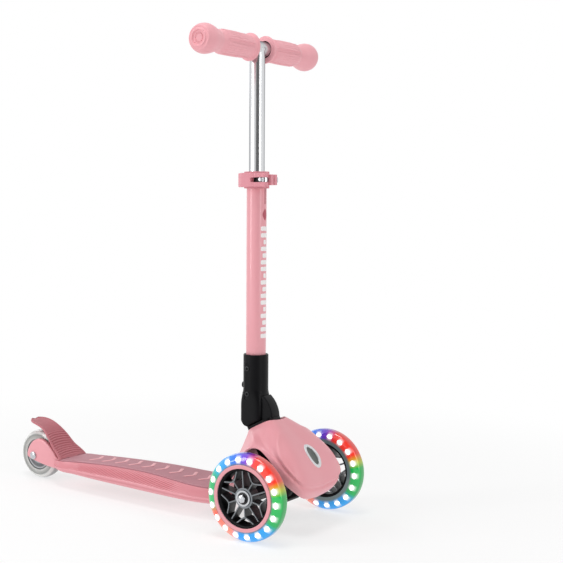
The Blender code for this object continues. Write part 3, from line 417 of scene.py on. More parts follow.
def glowingPolyurethane(name, axle):
    # Clear cast polyurethane lit from inside: saturated colour that changes round the wheel and runs to
    # white over each light; a light is where cos(count * (angle - phase)) is high, near the lights' circle
    material, tree, shader, place = plainMaterial(name, "#FFFFFF", 0.12, IOR=1.5, Coat_Weight=0.5)
    turn, clock, radius = clockNodes(tree, place, axle)
    ramp = addNode(tree, "ShaderNodeValToRGB", {}, {"Fac": clock})
    stops = ramp.color_ramp.elements
    for degrees, colour in glow["colours"]:
        stops.new(degrees / 360).color = linear(colour)
    for stop in (stops[0], stops[-1]):
        stop.color = linear(glow["colours"][0][1])
    phase = addNode(tree, "ShaderNodeMath", {"operation": "SUBTRACT", 1: math.radians(glow["ledPhase"])},
                    {0: turn})
    wave = addNode(tree, "ShaderNodeMath", {"operation": "MULTIPLY", 1: float(glow["ledCount"])},
                   {0: phase.outputs[0]})
    cosine = addNode(tree, "ShaderNodeMath", {"operation": "COSINE"}, {0: wave.outputs[0]})
    lengthwise = addNode(tree, "ShaderNodeMapRange",
                         {"From Min": -0.2, "From Max": 1.0, "interpolation_type": "SMOOTHSTEP"},
                         {"Value": cosine.outputs[0]})
    offset = addNode(tree, "ShaderNodeMath", {"operation": "SUBTRACT", 1: glow["ledRadius"]}, {0: radius})
    away = addNode(tree, "ShaderNodeMath", {"operation": "ABSOLUTE"}, {0: offset.outputs[0]})
    across = addNode(tree, "ShaderNodeMapRange",
                     {"From Min": 0.0074, "From Max": 0.0015, "interpolation_type": "SMOOTHSTEP"},
                     {"Value": away.outputs[0]})
    spot = addNode(tree, "ShaderNodeMath", {"operation": "MULTIPLY"},
                   {0: lengthwise.outputs[0], 1: across.outputs[0]})
    soft = addNode(tree, "ShaderNodeMath", {"operation": "MULTIPLY", 1: 0.9}, {0: spot.outputs[0]})
    lit = addNode(tree, "ShaderNodeMix", {"data_type": "RGBA", 7: (1, 1, 1, 1)},
                  {0: soft.outputs[0], 6: ramp.outputs["Color"]})
    # cool grey next to the hub, and painted shade a touch deeper at the tread
    cool = addNode(tree, "ShaderNodeMapRange", {"From Min": 0.0452, "From Max": 0.0485}, {"Value": radius})
    edge = addNode(tree, "ShaderNodeMix", {"data_type": "RGBA", 6: linear(glow["coolTone"])},
                   {0: cool.outputs[0], 7: lit.outputs[2]})
    rim = addNode(tree, "ShaderNodeMapRange", {"From Min": 0.0588, "From Max": 0.0604}, {"Value": radius})
    shadedColour = addNode(tree, "ShaderNodeMix",
                   {"data_type": "RGBA", "blend_type": "MULTIPLY", 7: linear(glow["treadShadeTint"])},
                   {0: rim.outputs[0], 6: edge.outputs[2]})
    for socket in ("Base Color", "Emission Color"):
        tree.links.new(shadedColour.outputs[2], shader.inputs[socket])
    shader.inputs["Emission Strength"].default_value = glow["emission"]
    return material


def ledLens():
    # Diffused light behind clear rubber: white, far brighter than its surroundings
    return plainMaterial("lit diffuser lens", "#FFFFFF", 0.3, Emission_Color=(1, 1, 1, 1),
                         Emission_Strength=glow["ledEmission"])[0]


def clearPolyurethane(axle):
    # Clear cast polyurethane, unlit: rings of light and shade from refraction are painted in by radius
    material, tree, shader, place = plainMaterial("clear cast polyurethane", "#E4E6E4", 0.08, IOR=1.5,
                                                  Transmission_Weight=0.25, Coat_Weight=0.4)
    radius = clockNodes(tree, place, axle)[2]
    share = addNode(tree, "ShaderNodeMapRange", {"From Min": 0.022, "From Max": 0.040}, {"Value": radius})
    ramp = addNode(tree, "ShaderNodeValToRGB", {}, {"Fac": share.outputs[0]})
    stops = ramp.color_ramp.elements
    for position, colour in ((0.14, "#4A4C4D"), (0.24, "#D9DAD8"), (0.42, "#B9BAB6"), (0.60, "#9C9E9C"),
                             (0.72, "#F2F2F0"), (0.88, "#F0F0EE")):
        stops.new(position).color = linear(colour)
    stops[0].color = linear("#3A3C3D")
    stops[-1].color = linear("#8C8F91")
    tree.links.new(ramp.outputs["Color"], shader.inputs["Base Color"])
    return material


# injection-moulded polypropylene: soft satin pink with a fine spark-eroded skin
mouldSkin = (0.0006, 0.00004, 0.25)
pinkPlastic = variedFinish("moulded pink polypropylene", ("#E69CA4", "#E9A1A9"), (0.30, 0.38), 0.09, mouldSkin,
                           IOR=1.49)
# the ribbed deck side gets painted shade in its grooves, darker where the surface is concave
ribbedPlastic = variedFinish("ribbed pink polypropylene", ("#E1959E", "#E49AA3"), (0.30, 0.38), 0.09, mouldSkin,
                             "#D9A9AE", IOR=1.49)
# the same plastic in a deeper rose, a little rougher to the foot
footSkin, footGloss = (0.0009, 0.00008, 0.35), {"IOR": 1.49, "Specular_IOR_Level": 0.3}
# the brake gets painted shade in the grooves between its ridges
roseBrake = variedFinish("moulded rose polypropylene", ("#C0777F", "#C77F87"), (0.46, 0.58), 0.05, footSkin,
                         "#D4A6AC", **footGloss)
roseMat = variedFinish("rose grip mat", ("#B27983", "#BA828C"), (0.46, 0.58), 0.05, footSkin, **footGloss)
roseClamp = variedFinish("rose glass-filled nylon", ("#E0939E", "#E59BA6"), (0.46, 0.58), 0.05, footSkin,
                         **footGloss)
# powder-coated aluminium tube: glossier than the plastic, with a faint orange peel
powderCoat = variedFinish("pink powder coat", ("#EAA1A9", "#EDA6AE"), (0.27, 0.34), 0.12,
                          (0.0018, 0.00004, 0.18), IOR=1.5, Coat_Weight=0.25)
# soft thermoplastic rubber: matt pink that scatters light at grazing angles
gripRubber = variedFinish("pink thermoplastic rubber", ("#EFA7AF", "#F2ADB5"), (0.5, 0.62), 0.03,
                          (0.0007, 0.00005, 0.3), IOR=1.5, Sheen_Weight=0.15)
# glass-filled nylon moulding: near-black with a dull sheen and an even fine grain
blackPlastic = variedFinish("black glass-filled nylon", ("#070709", "#0C0C0F"), (0.36, 0.46), 0.04,
                            (0.0008, 0.00006, 0.3), IOR=1.53, Specular_IOR_Level=0.12)
# phosphated and oiled steel: dark grey-black, semi-matt
paintedSteel = variedFinish("black painted steel", ("#141517", "#1C1D20"), (0.42, 0.58), 0.03,
                            (0.0012, 0.00005, 0.3))
# zinc-plated fasteners: bright, slightly cloudy
steel = variedFinish("plated steel", ("#BFC1C6", "#D3D5D8"), (0.14, 0.28), 0.004, metallic=1.0)
# moulded grey nylon: dull, slightly uneven
greyButton = variedFinish("grey nylon button", ("#474D49", "#565C58"), (0.3, 0.42), 0.01)
# screen-printed ink: flat and even
whitePrint = plainMaterial("white screen print", "#F7F4F3", 0.45)[0]
rosePrint = plainMaterial("rose screen print", "#B4505F", 0.45)[0]
aluminium = brushedAluminium()
silverPaint = satinSilver()
litLens = ledLens()
print("materials: %d" % len(bpy.data.materials))


rearAxle = middleOf("rear_tyre")
frontAxle = middleOf("tyre_right") * (1, 0, 1)
deckEnds = (rearAxle[0] + 0.048, frontAxle[0] - 0.080)
deck = {
    # share of the deck's length: half width on top, widest half width, top and bottom above the ground
    "keys": [(0.000, (0.024, 0.0245, 0.0390, 0.0240)), (0.057, (0.033, 0.0370, 0.0412, 0.0235)),
             (0.148, (0.032, 0.0420, 0.0432, 0.0240)), (0.247, (0.031, 0.0460, 0.0452, 0.0236)),
             (0.403, (0.031, 0.0500, 0.0472, 0.0228)), (0.588, (0.035, 0.0540, 0.0472, 0.0220)),
             (0.747, (0.041, 0.0570, 0.0445, 0.0215)), (0.830, (0.044, 0.0580, 0.0432, 0.0215)),
             (0.895, (0.043, 0.0570, 0.0427, 0.0218)), (1.000, (0.034, 0.0500, 0.0420, 0.0225))],
    "columns": 820, "lipShare": 0.45,
    "ribPitch": 0.0056, "ribHeight": 0.0015, "ribSlant": 1.6, "ribFrom": 0.12, "ribTo": 0.80,
    # the fork arms in side view from the rear axle
    "armOutline": [(0.070, -0.016), (0.070, -0.002), (0.053, 0.0014), (0.045, 0.0098), (0.034, 0.020),
                   (0.024, 0.026), (0.014, 0.0288), (0.005, 0.0275), (-0.005, 0.0215), (-0.013, 0.010),
                   (-0.0155, 0.000), (-0.012, -0.0045), (0.008, -0.010), (0.026, -0.0135), (0.050, -0.016)],
    "armInner": 0.0135, "armOuter": 0.0219, "armEdge": 0.0024,
    # hollows under the deck: shares of its length, half width and roof
    "pockets": ((0.17, 0.33), (0.35, 0.51), (0.53, 0.69)), "pocketHalf": 0.028, "pocketTop": 0.036,
}


def deckPlace(share):
    # Share of the deck's length to x, and back again below
    return deckEnds[0] + share * (deckEnds[1] - deckEnds[0])


def deckShare(x):
    return (x - deckEnds[0]) / (deckEnds[1] - deckEnds[0])


def deckGrid():
    # Half sections from the top's middle to the underside's, mirrored; the band between the mat and the lip
    # carries slanted ribs: height = ribHeight * (1 - |sin(pi (x + slant * down) / pitch)|)
    share = np.linspace(0, 1, deck["columns"])
    topWide, wide, top, bottom = through(deck["keys"], share).T
    lip = bottom + deck["lipShare"] * (top - bottom)
    down = np.linspace(0, 1, 26)[1:-1]
    half = [(0 * wide, top), (topWide * 0.5, top), (topWide - 0.0012, top), (topWide - 0.0002, top - 0.0004)]
    bandFrom = len(half)
    for t in down:
        bow = 0.0011 * math.sin(math.pi * t)
        half.append((topWide + (wide - 0.0008 - topWide) * t - bow * 0.4,
                     top - 0.0008 + (lip + 0.0012 - top) * t - bow))
    bandTo = len(half)
    half += [(wide - 0.0003, lip + 0.0004), (wide, lip - 0.0004), (wide - 0.0001, lip - 0.0014),
             (wide - 0.0009, lip - 0.0026), (wide - 0.0016, lip - 0.0036),
             (wide - 0.0024, (lip + bottom) / 2 - 0.001), (wide - 0.0044, bottom + 0.0024),
             (wide - 0.0068, bottom + 0.0008), (wide - 0.0110, bottom), ((wide - 0.011) * 0.5, bottom),
             (0 * wide, bottom)]
    y = np.array([pair[0] for pair in half]).T
    z = np.array([pair[1] for pair in half]).T
    x = deckPlace(share)[:, None]
    band = np.arange(y.shape[1])
    inBand = step(band, bandFrom - 0.5, bandFrom + 4) * (1 - step(band, bandTo - 5, bandTo - 0.5))
    first, last = deck["ribFrom"], deck["ribTo"]
    ends = step(share, first, first + 0.08) * (1 - step(share, last - 0.1, last))
    wave = 1 - np.abs(np.sin(np.pi * (x + deck["ribSlant"] * (top[:, None] - z)) / deck["ribPitch"]))
    ribs = deck["ribHeight"] * wave * inBand[None] * ends[:, None]
    y, z = y + ribs * 0.55, z + ribs * 0.8
    at = np.stack([x + 0 * y, y, z], -1)
    mirror = at[:, ::-1][:, 1:-1] * (1, -1, 1)
    return {"at": np.concatenate([at, mirror], 1), "caps": True}


def boxMesh(low, high, round=0.0):
    # A box with rounded upright edges, as a cutter
    half = (np.array(high) - np.array(low)) / 2
    middle = (np.array(high) + np.array(low)) / 2
    flat = eased([(half[0], half[1]), (-half[0], half[1]), (-half[0], -half[1]), (half[0], -half[1])],
                 round, 6, closed=True)
    at = np.array([np.column_stack([flat + middle[:2], np.full(len(flat), z)]) for z in (low[2], high[2])])
    return meshOf("cutter", [{"at": at, "caps": True}])


def buildDeck():
    mesh = meshOf("deck_shell", [deckGrid()])
    wide = deck["pocketHalf"]
    pockets = [boxMesh((deckPlace(low), -wide, 0.0), (deckPlace(high), wide, deck["pocketTop"]), 0.006)
               for low, high in deck["pockets"]]
    # room for the chassis tongue, the rear wheel and the brake's hinge
    tongue = boxMesh((frontAxle[0] - 0.128, -wide, 0.0), (deckEnds[1] + 0.01, wide, 0.0358))
    inner = deck["armInner"]
    wheelRoom = boxMesh((rearAxle[0] - 0.1, -inner, 0.0), (rearAxle[0] + 0.044, inner, 0.1), 0.002)
    hinge = middleOf("brake_pin")
    hingeRoom = boxMesh((rearAxle[0] + 0.034, -0.0125, hinge[2] - 0.0065), (hinge[0] + 0.0065, 0.0125, 0.1))
    mesh = cutBy(mesh, *pockets, tongue, wheelRoom, hingeRoom)
    addPiece("deck_shell", mesh, ribbedPlastic, "deck", "pink_plastic", ["deck_base"])
    outline = smoothLoop(deck["armOutline"], 150)
    axleMiddle = rearAxle * (1, 0, 1)
    grids = [padGrid(outline, inner, deck["armOuter"], deck["armEdge"], along(axis, axleMiddle), 0.0006)
             for axis in ("-y", "y")]
    shape("fork_arms", grids, pinkPlastic, "deck", "pink_plastic", sharp=50)


mat = {
    # ends as shares of the deck's length; the fine cross ridges' pitch; the chevrons' size and sweep
    "from": 0.060, "to": 0.930, "thick": 0.0025, "ridgeHeight": 0.00016, "ridgePitch": 0.0034,
    "chevrons": 9, "barHalf": 0.0026, "reach": 0.0165, "sweep": 0.0075,
}


def matTop(share):
    # The mat's half width and height at a share of the deck's length
    topWide, _, top, _ = through(deck["keys"], share).T
    return topWide - 0.0005, top + 0.0003 + mat["thick"] - 0.0002


def buildMat():
    # A sheet whose top is crowned and whose rim is rounded; its surface has fine cross ridges
    share = np.linspace(mat["from"], mat["to"], 420)
    half, top = matTop(share)
    low = top - mat["thick"] + 0.0002
    across = np.sin(np.linspace(-1, 1, 41) * np.pi / 2)
    x = deckPlace(share)[:, None]
    y = half[:, None] * across
    edge = 0.0009 * np.abs(across) ** 14
    ridges = mat["ridgeHeight"] * np.cos(2 * np.pi * (x + 0.25 * np.abs(y)) / mat["ridgePitch"])
    ridges = ridges * (1 - step(np.abs(across), 0.86, 0.93))
    topRows = np.stack([x + 0 * y, y, top[:, None] - edge[None] + ridges - 0.0002], -1)
    lowRows = np.stack([x + 0 * y, half[:, None] * across[::-1], low[:, None] + 0 * y], -1)
    grid = {"at": np.concatenate([topRows, lowRows], 1), "caps": True}
    shape("deck_mat_skin", [grid], roseMat, "deck", "dark_pink_mat", ["deck_mat"])
    # raised chevrons down the middle, each a bar bent at the centre line: back = sweep * sqrt(v^2 + 0.01)
    section = superellipse(mat["barHalf"], 0.0005, 2.6, 16)
    bars = []
    v = np.linspace(-1, 1, 33)
    for k in range(mat["chevrons"]):
        centre = mat["from"] + 0.16 + (mat["to"] - mat["from"] - 0.26) * k / (mat["chevrons"] - 1)
        x = deckPlace(centre) - mat["sweep"] * np.sqrt(v ** 2 + 0.01)
        _, z = matTop(deckShare(x))
        path = np.stack([x, mat["reach"] * v, z - 0.0001], -1)
        bars.append(sweptGrid(path, section, (0, 0, 1)))
    shape("mat_chevrons", bars, pinkPlastic, "deck", "pink_plastic")


brake = {
    # degrees about the rear axle, distance from the wheel, half width
    "keys": [(0.0, (3.4, 0.0286, 0.0326)), (0.2, (22.6, 0.0120, 0.0270)), (0.4, (46.3, 0.0084, 0.0237)),
             (0.6, (70.5, 0.0109, 0.0205)), (0.8, (92.1, 0.0150, 0.0205)), (1.0, (106.2, 0.0209, 0.0150))],
    "wheel": 0.040, "thick": 0.004, "dish": 0.002, "ridges": 0.0005, "pitch": 0.0046, "rim": 0.0006,
    "barrel": [(0.0022, 0.008), (0.0045, 0.008), (0.0045, -0.008), (0.0022, -0.008)],
    # the foot in side view from its hinge
    "foot": [(-0.004, 0.0080), (-0.013, 0.0105), (-0.010, 0.000), (-0.002, -0.0043), (0.0035, 0.0005)],
    "footHalf": 0.0078,
}


def buildBrake():
    # A plate along the centre line; half width shrinks as a circle at the tip, ridges cross its lower half
    t = np.linspace(0, 1, 220)
    degrees, room, half = through(brake["keys"], t).T
    reach = brake["wheel"] + room
    x, z = reach * np.cos(np.radians(degrees)), reach * np.sin(np.radians(degrees))
    tip = np.clip((t - 0.80) / 0.20, 0, 1)
    half = half * np.sqrt(np.clip(1 - 0.72 * tip ** 3, 0, 1))
    path = np.stack([x, z], -1)
    ahead = np.gradient(path, axis=0)
    ahead /= np.linalg.norm(ahead, axis=1, keepdims=True)
    normal = np.stack([ahead[:, 1], -ahead[:, 0]], -1)
    length = np.concatenate([[0], np.cumsum(np.linalg.norm(np.diff(path, axis=0), axis=1))])
    turn = angles(96)
    side = np.sign(np.cos(turn)) * np.abs(np.cos(turn)) ** 0.5
    thick = np.sign(np.sin(turn)) * np.abs(np.sin(turn)) ** 0.75
    taper = 1 - 0.35 * step(t, 0.85, 1.0)
    ridge = brake["ridges"] * np.cos(2 * np.pi * (length[:, None] + 0.004 * side[None] ** 2) / brake["pitch"])
    ridge = ridge * (1 - step(t, 0.42, 0.52))[:, None] * step(t, 0.02, 0.06)[:, None]
    ridge = ridge * (thick[None] > 0.5) * (1 - step(np.abs(side), 0.84, 0.93))[None]
    # a raised rib stands along each edge of the upper face
    rim = brake["rim"] * bell(np.abs(side), 0.9, 0.07) * (thick > 0.3)
    out = (thick[None] * brake["thick"] / 2 * taper[:, None] + ridge + rim[None]
           + brake["dish"] * (side[None] ** 2 - 0.5) * step(t, 0.0, 0.3)[:, None] - brake["thick"] / 2)
    at = np.stack([rearAxle[0] + path[:, :1] + normal[:, :1] * out, half[:, None] * side[None],
                   rearAxle[2] + path[:, 1:] + normal[:, 1:] * out], -1)
    low = at[:1].mean(1, keepdims=True) + 0 * at[:1]
    high = at[-1:].mean(1, keepdims=True) + 0 * at[-1:]
    grids = [{"at": np.concatenate([low, at, high], 0)}]
    shape("brake_blade", grids, roseBrake, "brake", "dark_pink_mat", ["brake_pad"])
    hinge = middleOf("brake_pin")
    barrel = turnedGrid(eased(brake["barrel"], 0.0006, 4, closed=True), hinge, "y", 32, closed=True)
    foot = padGrid(smoothLoop(brake["foot"], 40), -brake["footHalf"], brake["footHalf"], 0.0012,
                   along("y", hinge * (1, 0, 1)))
    shape("brake_foot", [barrel, foot], roseBrake, "brake", "dark_pink_mat")


buildDeck()
buildMat()
buildBrake()
print("deck, mat and brake made")


hood = {
    # angle round the rim: three more control points of the rib, from the front axle, at y >= 0
    "ribs": [(0, ((0.034, 0.000, 0.0565), (0.078, 0.000, 0.0105), (0.045, 0.000, -0.0155))),
             (35, ((0.036, 0.040, 0.0595), (0.073, 0.060, 0.0160), (0.047, 0.038, -0.0095))),
             (60, ((0.018, 0.052, 0.0655), (0.052, 0.074, 0.0300), (0.039, 0.053, 0.0020))),
             (80, ((-0.008, 0.050, 0.0705), (0.026, 0.070, 0.0475), (0.025, 0.059, 0.0155))),
             (95, ((-0.028, 0.043, 0.0725), (-0.004, 0.064, 0.0615), (0.006, 0.061, 0.0415))),
             (108, ((-0.038, 0.038, 0.0705), (-0.024, 0.058, 0.0675), (-0.013, 0.062, 0.0565))),
             (122, ((-0.045, 0.030, 0.0695), (-0.036, 0.048, 0.0615), (-0.034, 0.061, 0.0515))),
             (135, ((-0.055, 0.026, 0.0615), (-0.050, 0.046, 0.0455), (-0.052, 0.060, 0.0235))),
             (147, ((-0.062, 0.020, 0.0555), (-0.064, 0.044, 0.0275), (-0.068, 0.057, -0.0085))),
             (163, ((-0.066, 0.010, 0.0515), (-0.076, 0.032, 0.0175), (-0.090, 0.042, -0.0110))),
             (180, ((-0.068, 0.000, 0.0475), (-0.080, 0.000, 0.0155), (-0.096, 0.000, -0.0110)))],
    "wall": 0.0024, "tilt": math.radians(27),
    "rimHalfL": 0.0267, "rimHalfW": 0.0212, "rimForward": 0.0173, "rimDrop": 0.0223, "rimArch": 0.0045,
    # the ridge round the nose and the band behind it, by share of the rib and angle
    "ridgeHeight": 0.0015, "bandDepth": 0.0022,
    "ridgeMiddle": 0.50, "ridgeUp": 0.41, "ridgeDown": 0.265, "ridgeTurn": 69.0, "ridgePower": 2.4,
}
foldPin = middleOf("fold_pin")
buttonSize = {"halfL": 0.0138, "halfW": 0.0080, "border": 0.0053, "tilt": math.radians(38)}


def hoodSurface(degrees, t):
    # A cubic Bezier rib at each angle, from the superellipse rim of exponent 4 down to the lower edge
    degrees, t = np.asarray(degrees, float), np.asarray(t, float)
    keys = [(a, [v for point in points for v in point]) for a, points in hood["ribs"]]
    c, s = np.cos(np.radians(degrees)), np.sin(np.radians(degrees))
    u = hood["rimForward"] + np.sign(c) * np.abs(c) ** 0.5 * hood["rimHalfL"]
    ahead, up = math.cos(hood["tilt"]), math.sin(hood["tilt"])
    drop = hood["rimDrop"] - hood["rimArch"] * np.abs(s) ** 1.5
    rim = np.stack([foldPin[0] + u * ahead + drop * up, np.abs(s) ** 0.5 * hood["rimHalfW"],
                    foldPin[2] + u * up - drop * ahead], -1)
    mirror = np.where(degrees <= 180, degrees, 360 - degrees)
    flat = through(keys, mirror.ravel()).reshape(len(degrees), 3, 3)
    flat = flat + np.array([frontAxle[0], 0, frontAxle[2]])
    flat[..., 1] = np.maximum(flat[..., 1], 0)
    controls = [rim] + [flat[:, i] for i in range(3)]
    weights = [(1 - t) ** 3, 3 * t * (1 - t) ** 2, 3 * t * t * (1 - t), t ** 3]
    at = sum(weight[:, None, None] * control[None] for weight, control in zip(weights, controls))
    at[..., 1] *= np.where(degrees <= 180, 1, -1)[None]
    return at


def surfaceNormals(at):
    # Cross product of the grid's two directions, for a grid closed in its columns
    down = np.gradient(at, axis=0)
    around = np.roll(at, -1, 1) - np.roll(at, 1, 1)
    normal = np.cross(down, around)
    return normal / np.maximum(np.linalg.norm(normal, axis=2, keepdims=True), 1e-9)


def lockPlace(u, v, h):
    # The button's frame: u down the hood, v across, h out of it
    origin = hoodSurface([0.0, 1.0], [0.42])[0, 0]
    lean = math.pi / 2 - buttonSize["tilt"]
    down, out = (math.cos(lean), 0, -math.sin(lean)), (math.sin(lean), 0, math.cos(lean))
    axes = np.array([down, (0, 1, 0), out])
    return origin + u[..., None] * axes[0] + v[..., None] * axes[1] + h[..., None] * axes[2]


def buildHood():
    # The rib surface with its ridge and band pressed in along its normals, given a wall and a hole
    degrees = np.linspace(0, 360, 240, endpoint=False)
    t = np.linspace(0, 1, 90)
    at = hoodSurface(degrees, t)
    normal = surfaceNormals(at)
    nose = at[..., 0] > frontAxle[0]
    normal *= np.sign(np.sum(normal[..., 0][nose]))
    # `ring` is 1 along the ridge, which runs round the nose and down to the wheel arch: a superellipse in
    # angle and share of the rib, wider above its middle
    mirror = np.where(degrees <= 180, degrees, 360 - degrees)[None]
    down = t[:, None]
    tall = np.where(down < hood["ridgeMiddle"], hood["ridgeUp"], hood["ridgeDown"])
    power = hood["ridgePower"]
    ring = (mirror / hood["ridgeTurn"]) ** power + (np.abs(down - hood["ridgeMiddle"]) / tall) ** power
    ring = ring ** (1 / power)
    shown = step(down, 0.10, 0.22) * (1 - step(down, 0.80, 0.95))
    ridge = hood["ridgeHeight"] * bell(ring, 1.0, 0.075) * shown
    band = hood["bandDepth"] * bell(ring, 1.22, 0.11) * shown
    at = at + normal * (ridge - band - 0.0004)[..., None]
    mesh = meshOf("hood_skin", [{"at": at}])
    work = bmesh.new()
    work.from_mesh(mesh)
    front = [face for face in work.faces if face.calc_center_median().x > frontAxle[0]]
    if sum(face.normal.x for face in front) < 0:
        bmesh.ops.reverse_faces(work, faces=work.faces)
    work.to_mesh(mesh)
    work.free()
    mesh = applied(mesh, ("SOLIDIFY", {"thickness": hood["wall"], "offset": -1.0, "use_rim": True}))
    flat = superellipse(buttonSize["halfL"] + buttonSize["border"] - 0.0006,
                        buttonSize["halfW"] + buttonSize["border"] - 0.0006, 2.0, 64)
    cutter = np.array([lockPlace(flat[:, 0], flat[:, 1], np.full(64, h)) for h in (-0.02, 0.02)])
    mesh = cutBy(mesh, meshOf("cutter", [{"at": cutter, "caps": True}]))
    addPiece("hood_skin", mesh, pinkPlastic, "deck", "pink_plastic", ["hood"], sharp=40)


def hoodHeight(u, v):
    # Height of the hood over the button's plane: a quadratic in u and v fitted to the surface near it
    around = np.concatenate([np.linspace(0, 22, 12), np.linspace(338, 359, 12)])
    near = hoodSurface(around, np.linspace(0.25, 0.6, 20)).reshape(-1, 3)
    origin = lockPlace(np.zeros(1), np.zeros(1), np.zeros(1))[0]
    axes = [lockPlace(*(np.array([float(i == k)]) for i in range(3)))[0] - origin for k in range(3)]
    a, b, h = ((near - origin) @ axis for axis in axes)
    fit, *_ = np.linalg.lstsq(np.stack([np.ones_like(a), a, b, a * a, a * b, b * b], -1), h, rcond=None)
    return fit[0] + fit[1] * u + fit[2] * v + fit[3] * u * u + fit[4] * u * v + fit[5] * v * v


def buildButton():
    # An oval ring and a hollow-topped button, both laid on the hood's own curve
    turn = angles(96)
    inA, inB = buttonSize["halfL"] + 0.0003, buttonSize["halfW"] + 0.0003
    width = buttonSize["border"] - 0.0003
    # the ring's section: a soft half round, thicker towards its lower side
    section = np.linspace(0, 2 * np.pi, 28, endpoint=False)
    side = 0.5 - 0.5 * np.sign(np.cos(section)) * np.abs(np.cos(section)) ** 0.7
    tall = np.sin(section)
    u = (inA + side[:, None] * width) * np.cos(turn)[None]
    v = (inB + side[:, None] * width) * np.sin(turn)[None]
    lift = np.where(tall[:, None] > 0, tall[:, None] * 0.0015, tall[:, None] * 0.003)
    shape("button_bezel", [{"at": lockPlace(u, v, hoodHeight(u, v) - 0.0008 + lift), "closedRows": True}],
          silverPaint, "deck", "silver_plastic", ["button_ring"])
    oval = superellipse(buttonSize["halfL"] - 0.0001, buttonSize["halfW"] - 0.0001, 2.0, 80)

    def place(grid):
        u, v, h = grid[..., 0], grid[..., 1], grid[..., 2]
        return lockPlace(u, v, hoodHeight(u, v) - 0.0006 + h)
    shape("lock_button", [padGrid(oval, -0.0035, 0.0, 0.0012, place, -0.0009)], greyButton, "steering_lock",
          "grey_nylon", ["steering_lock_button"])


buildHood()
buildButton()
print("hood and its button made")


stemX = middleOf("outer_tube")[0]
column = {
    "tubeR": 0.0143, "bore": 0.0125, "foot": 0.2003, "head": 0.4992, "print": (0.262, 0.425), "rungs": 17,
    "rungWidths": (0.0076, 0.0076, 0.0048, 0.0076, 0.0030), "rungHalf": 0.0032, "diamondAt": 0.440,
    "buttonAt": 0.455,
}
fold = {
    # side view from the fold pin: the sleeve runs down to here, then narrows round the pin
    "rear": -0.0128, "front": 0.0232, "blendFrom": 0.040, "blendTo": 0.016, "halfY": 0.0178, "boss": 0.0139,
    "seat": 0.0142, "slotHalf": 0.0109, "slotR": 0.0364, "sleeveR": 0.018,
    "discHalf": 0.0105, "discR": 0.0358, "noseR": 0.0400, "noseTo": 52,
    "neckFrom": -0.0100, "neckTo": 0.0365, "neckHalf": 0.0170, "neckRoot": 0.062,
    # the sleeve's side: how far its pad and screws stand behind the column's middle, and their heights
    "padBack": 0.0042, "padAt": 0.2010, "screws": (("upper", 0.2194), ("lower", 0.1828)),
    "screwCup": [(0, -0.0140), (0.0036, -0.0140), (0.0036, -0.0173), (0.0021, -0.0176), (0.0019, -0.0160),
                 (0, -0.0158)],
}


def foldLump():
    # Level sections from the sleeve's top to the seat: a circle above, a squarer superellipse round the pin.
    # The rear follows the boss's circle and the front follows the seat's tilted plane.
    rise = np.concatenate([[0.0894, 0.0898, 0.0890], np.linspace(0.088, 0.040, 14),
                           np.linspace(0.038, -0.0139, 60)])
    tilt = math.tan(hood["tilt"])
    seatLine = (rise + fold["seat"] / math.cos(hood["tilt"])) / tilt
    rear = np.where(rise > -0.0056, fold["rear"], -np.sqrt(np.clip(fold["boss"] ** 2 - rise ** 2, 0, 1)))
    front = np.clip(np.minimum(fold["front"], seatLine), 0.0006, 1)
    square = 1 - step(rise, fold["blendTo"], fold["blendFrom"])
    turn = angles(120)[None]
    power = (2 / (2 + 2.2 * square))[:, None]
    halfX, middle = ((front - rear) / 2)[:, None], ((front + rear) / 2)[:, None]
    inset = np.array([0.0016, 0.0007, 0.0] + [0.0] * (len(rise) - 3))[:, None]
    halfY = (fold["sleeveR"] + (fold["halfY"] - fold["sleeveR"]) * square)[:, None] - inset
    c, w = np.cos(turn), np.sin(turn)
    at = np.stack([foldPin[0] + middle + (halfX - inset) * np.sign(c) * np.abs(c) ** power,
                   halfY * np.sign(w) * np.abs(w) ** power, foldPin[2] + rise[:, None] + 0 * turn], -1)
    return {"at": at, "caps": True}


def discOutline():
    # The deck's half of the joint in side view: a disc round the pin whose front stands out as a nose
    arcs = [(fold["noseR"], np.linspace(-40, fold["noseTo"], 40)),
            (fold["discR"], np.linspace(fold["noseTo"], 160, 50)[2:]), (0.0135, np.linspace(207, 320, 20))]
    outline = np.vstack([np.stack([r * np.cos(np.radians(a)), r * np.sin(np.radians(a))], -1) for r, a in arcs])
    outline[:, 0] = np.maximum(outline[:, 0], fold["rear"] + 0.0012)
    return outline


def neckGrid():
    # Rows up the neck's own axis, closed by a seat
    seatR = fold["boss"] + 0.0005

    def seatUnder(x):
        # Hollowed to the boss's circle behind the pin, level in front of it
        return np.where(x > 0, -seatR, -np.sqrt(np.clip(seatR ** 2 - x ** 2, 0.0085 ** 2, 1)))
    middle = np.array([(fold["neckTo"] + fold["neckFrom"]) / 2, 0])
    flat = superellipse((fold["neckTo"] - fold["neckFrom"]) / 2, fold["neckHalf"], 4, 96) + middle
    rows = [np.column_stack([flat, -fold["neckRoot"] + (seatUnder(flat[:, 0]) + fold["neckRoot"]) * share])
            for share in np.linspace(0, 1, 12)]
    for share in (0.97, 0.9, 0.7, 0.4, 0.0):
        inner = middle + (flat - middle) * share
        rows.append(np.column_stack([inner, seatUnder(inner[:, 0]) + 0.0002]))
    own = np.array(rows)
    ahead, up = math.cos(hood["tilt"]), math.sin(hood["tilt"])
    return {"at": np.stack([foldPin[0] + own[..., 0] * ahead - own[..., 2] * up, own[..., 1],
                            foldPin[2] + own[..., 0] * up + own[..., 2] * ahead], -1), "caps": True}


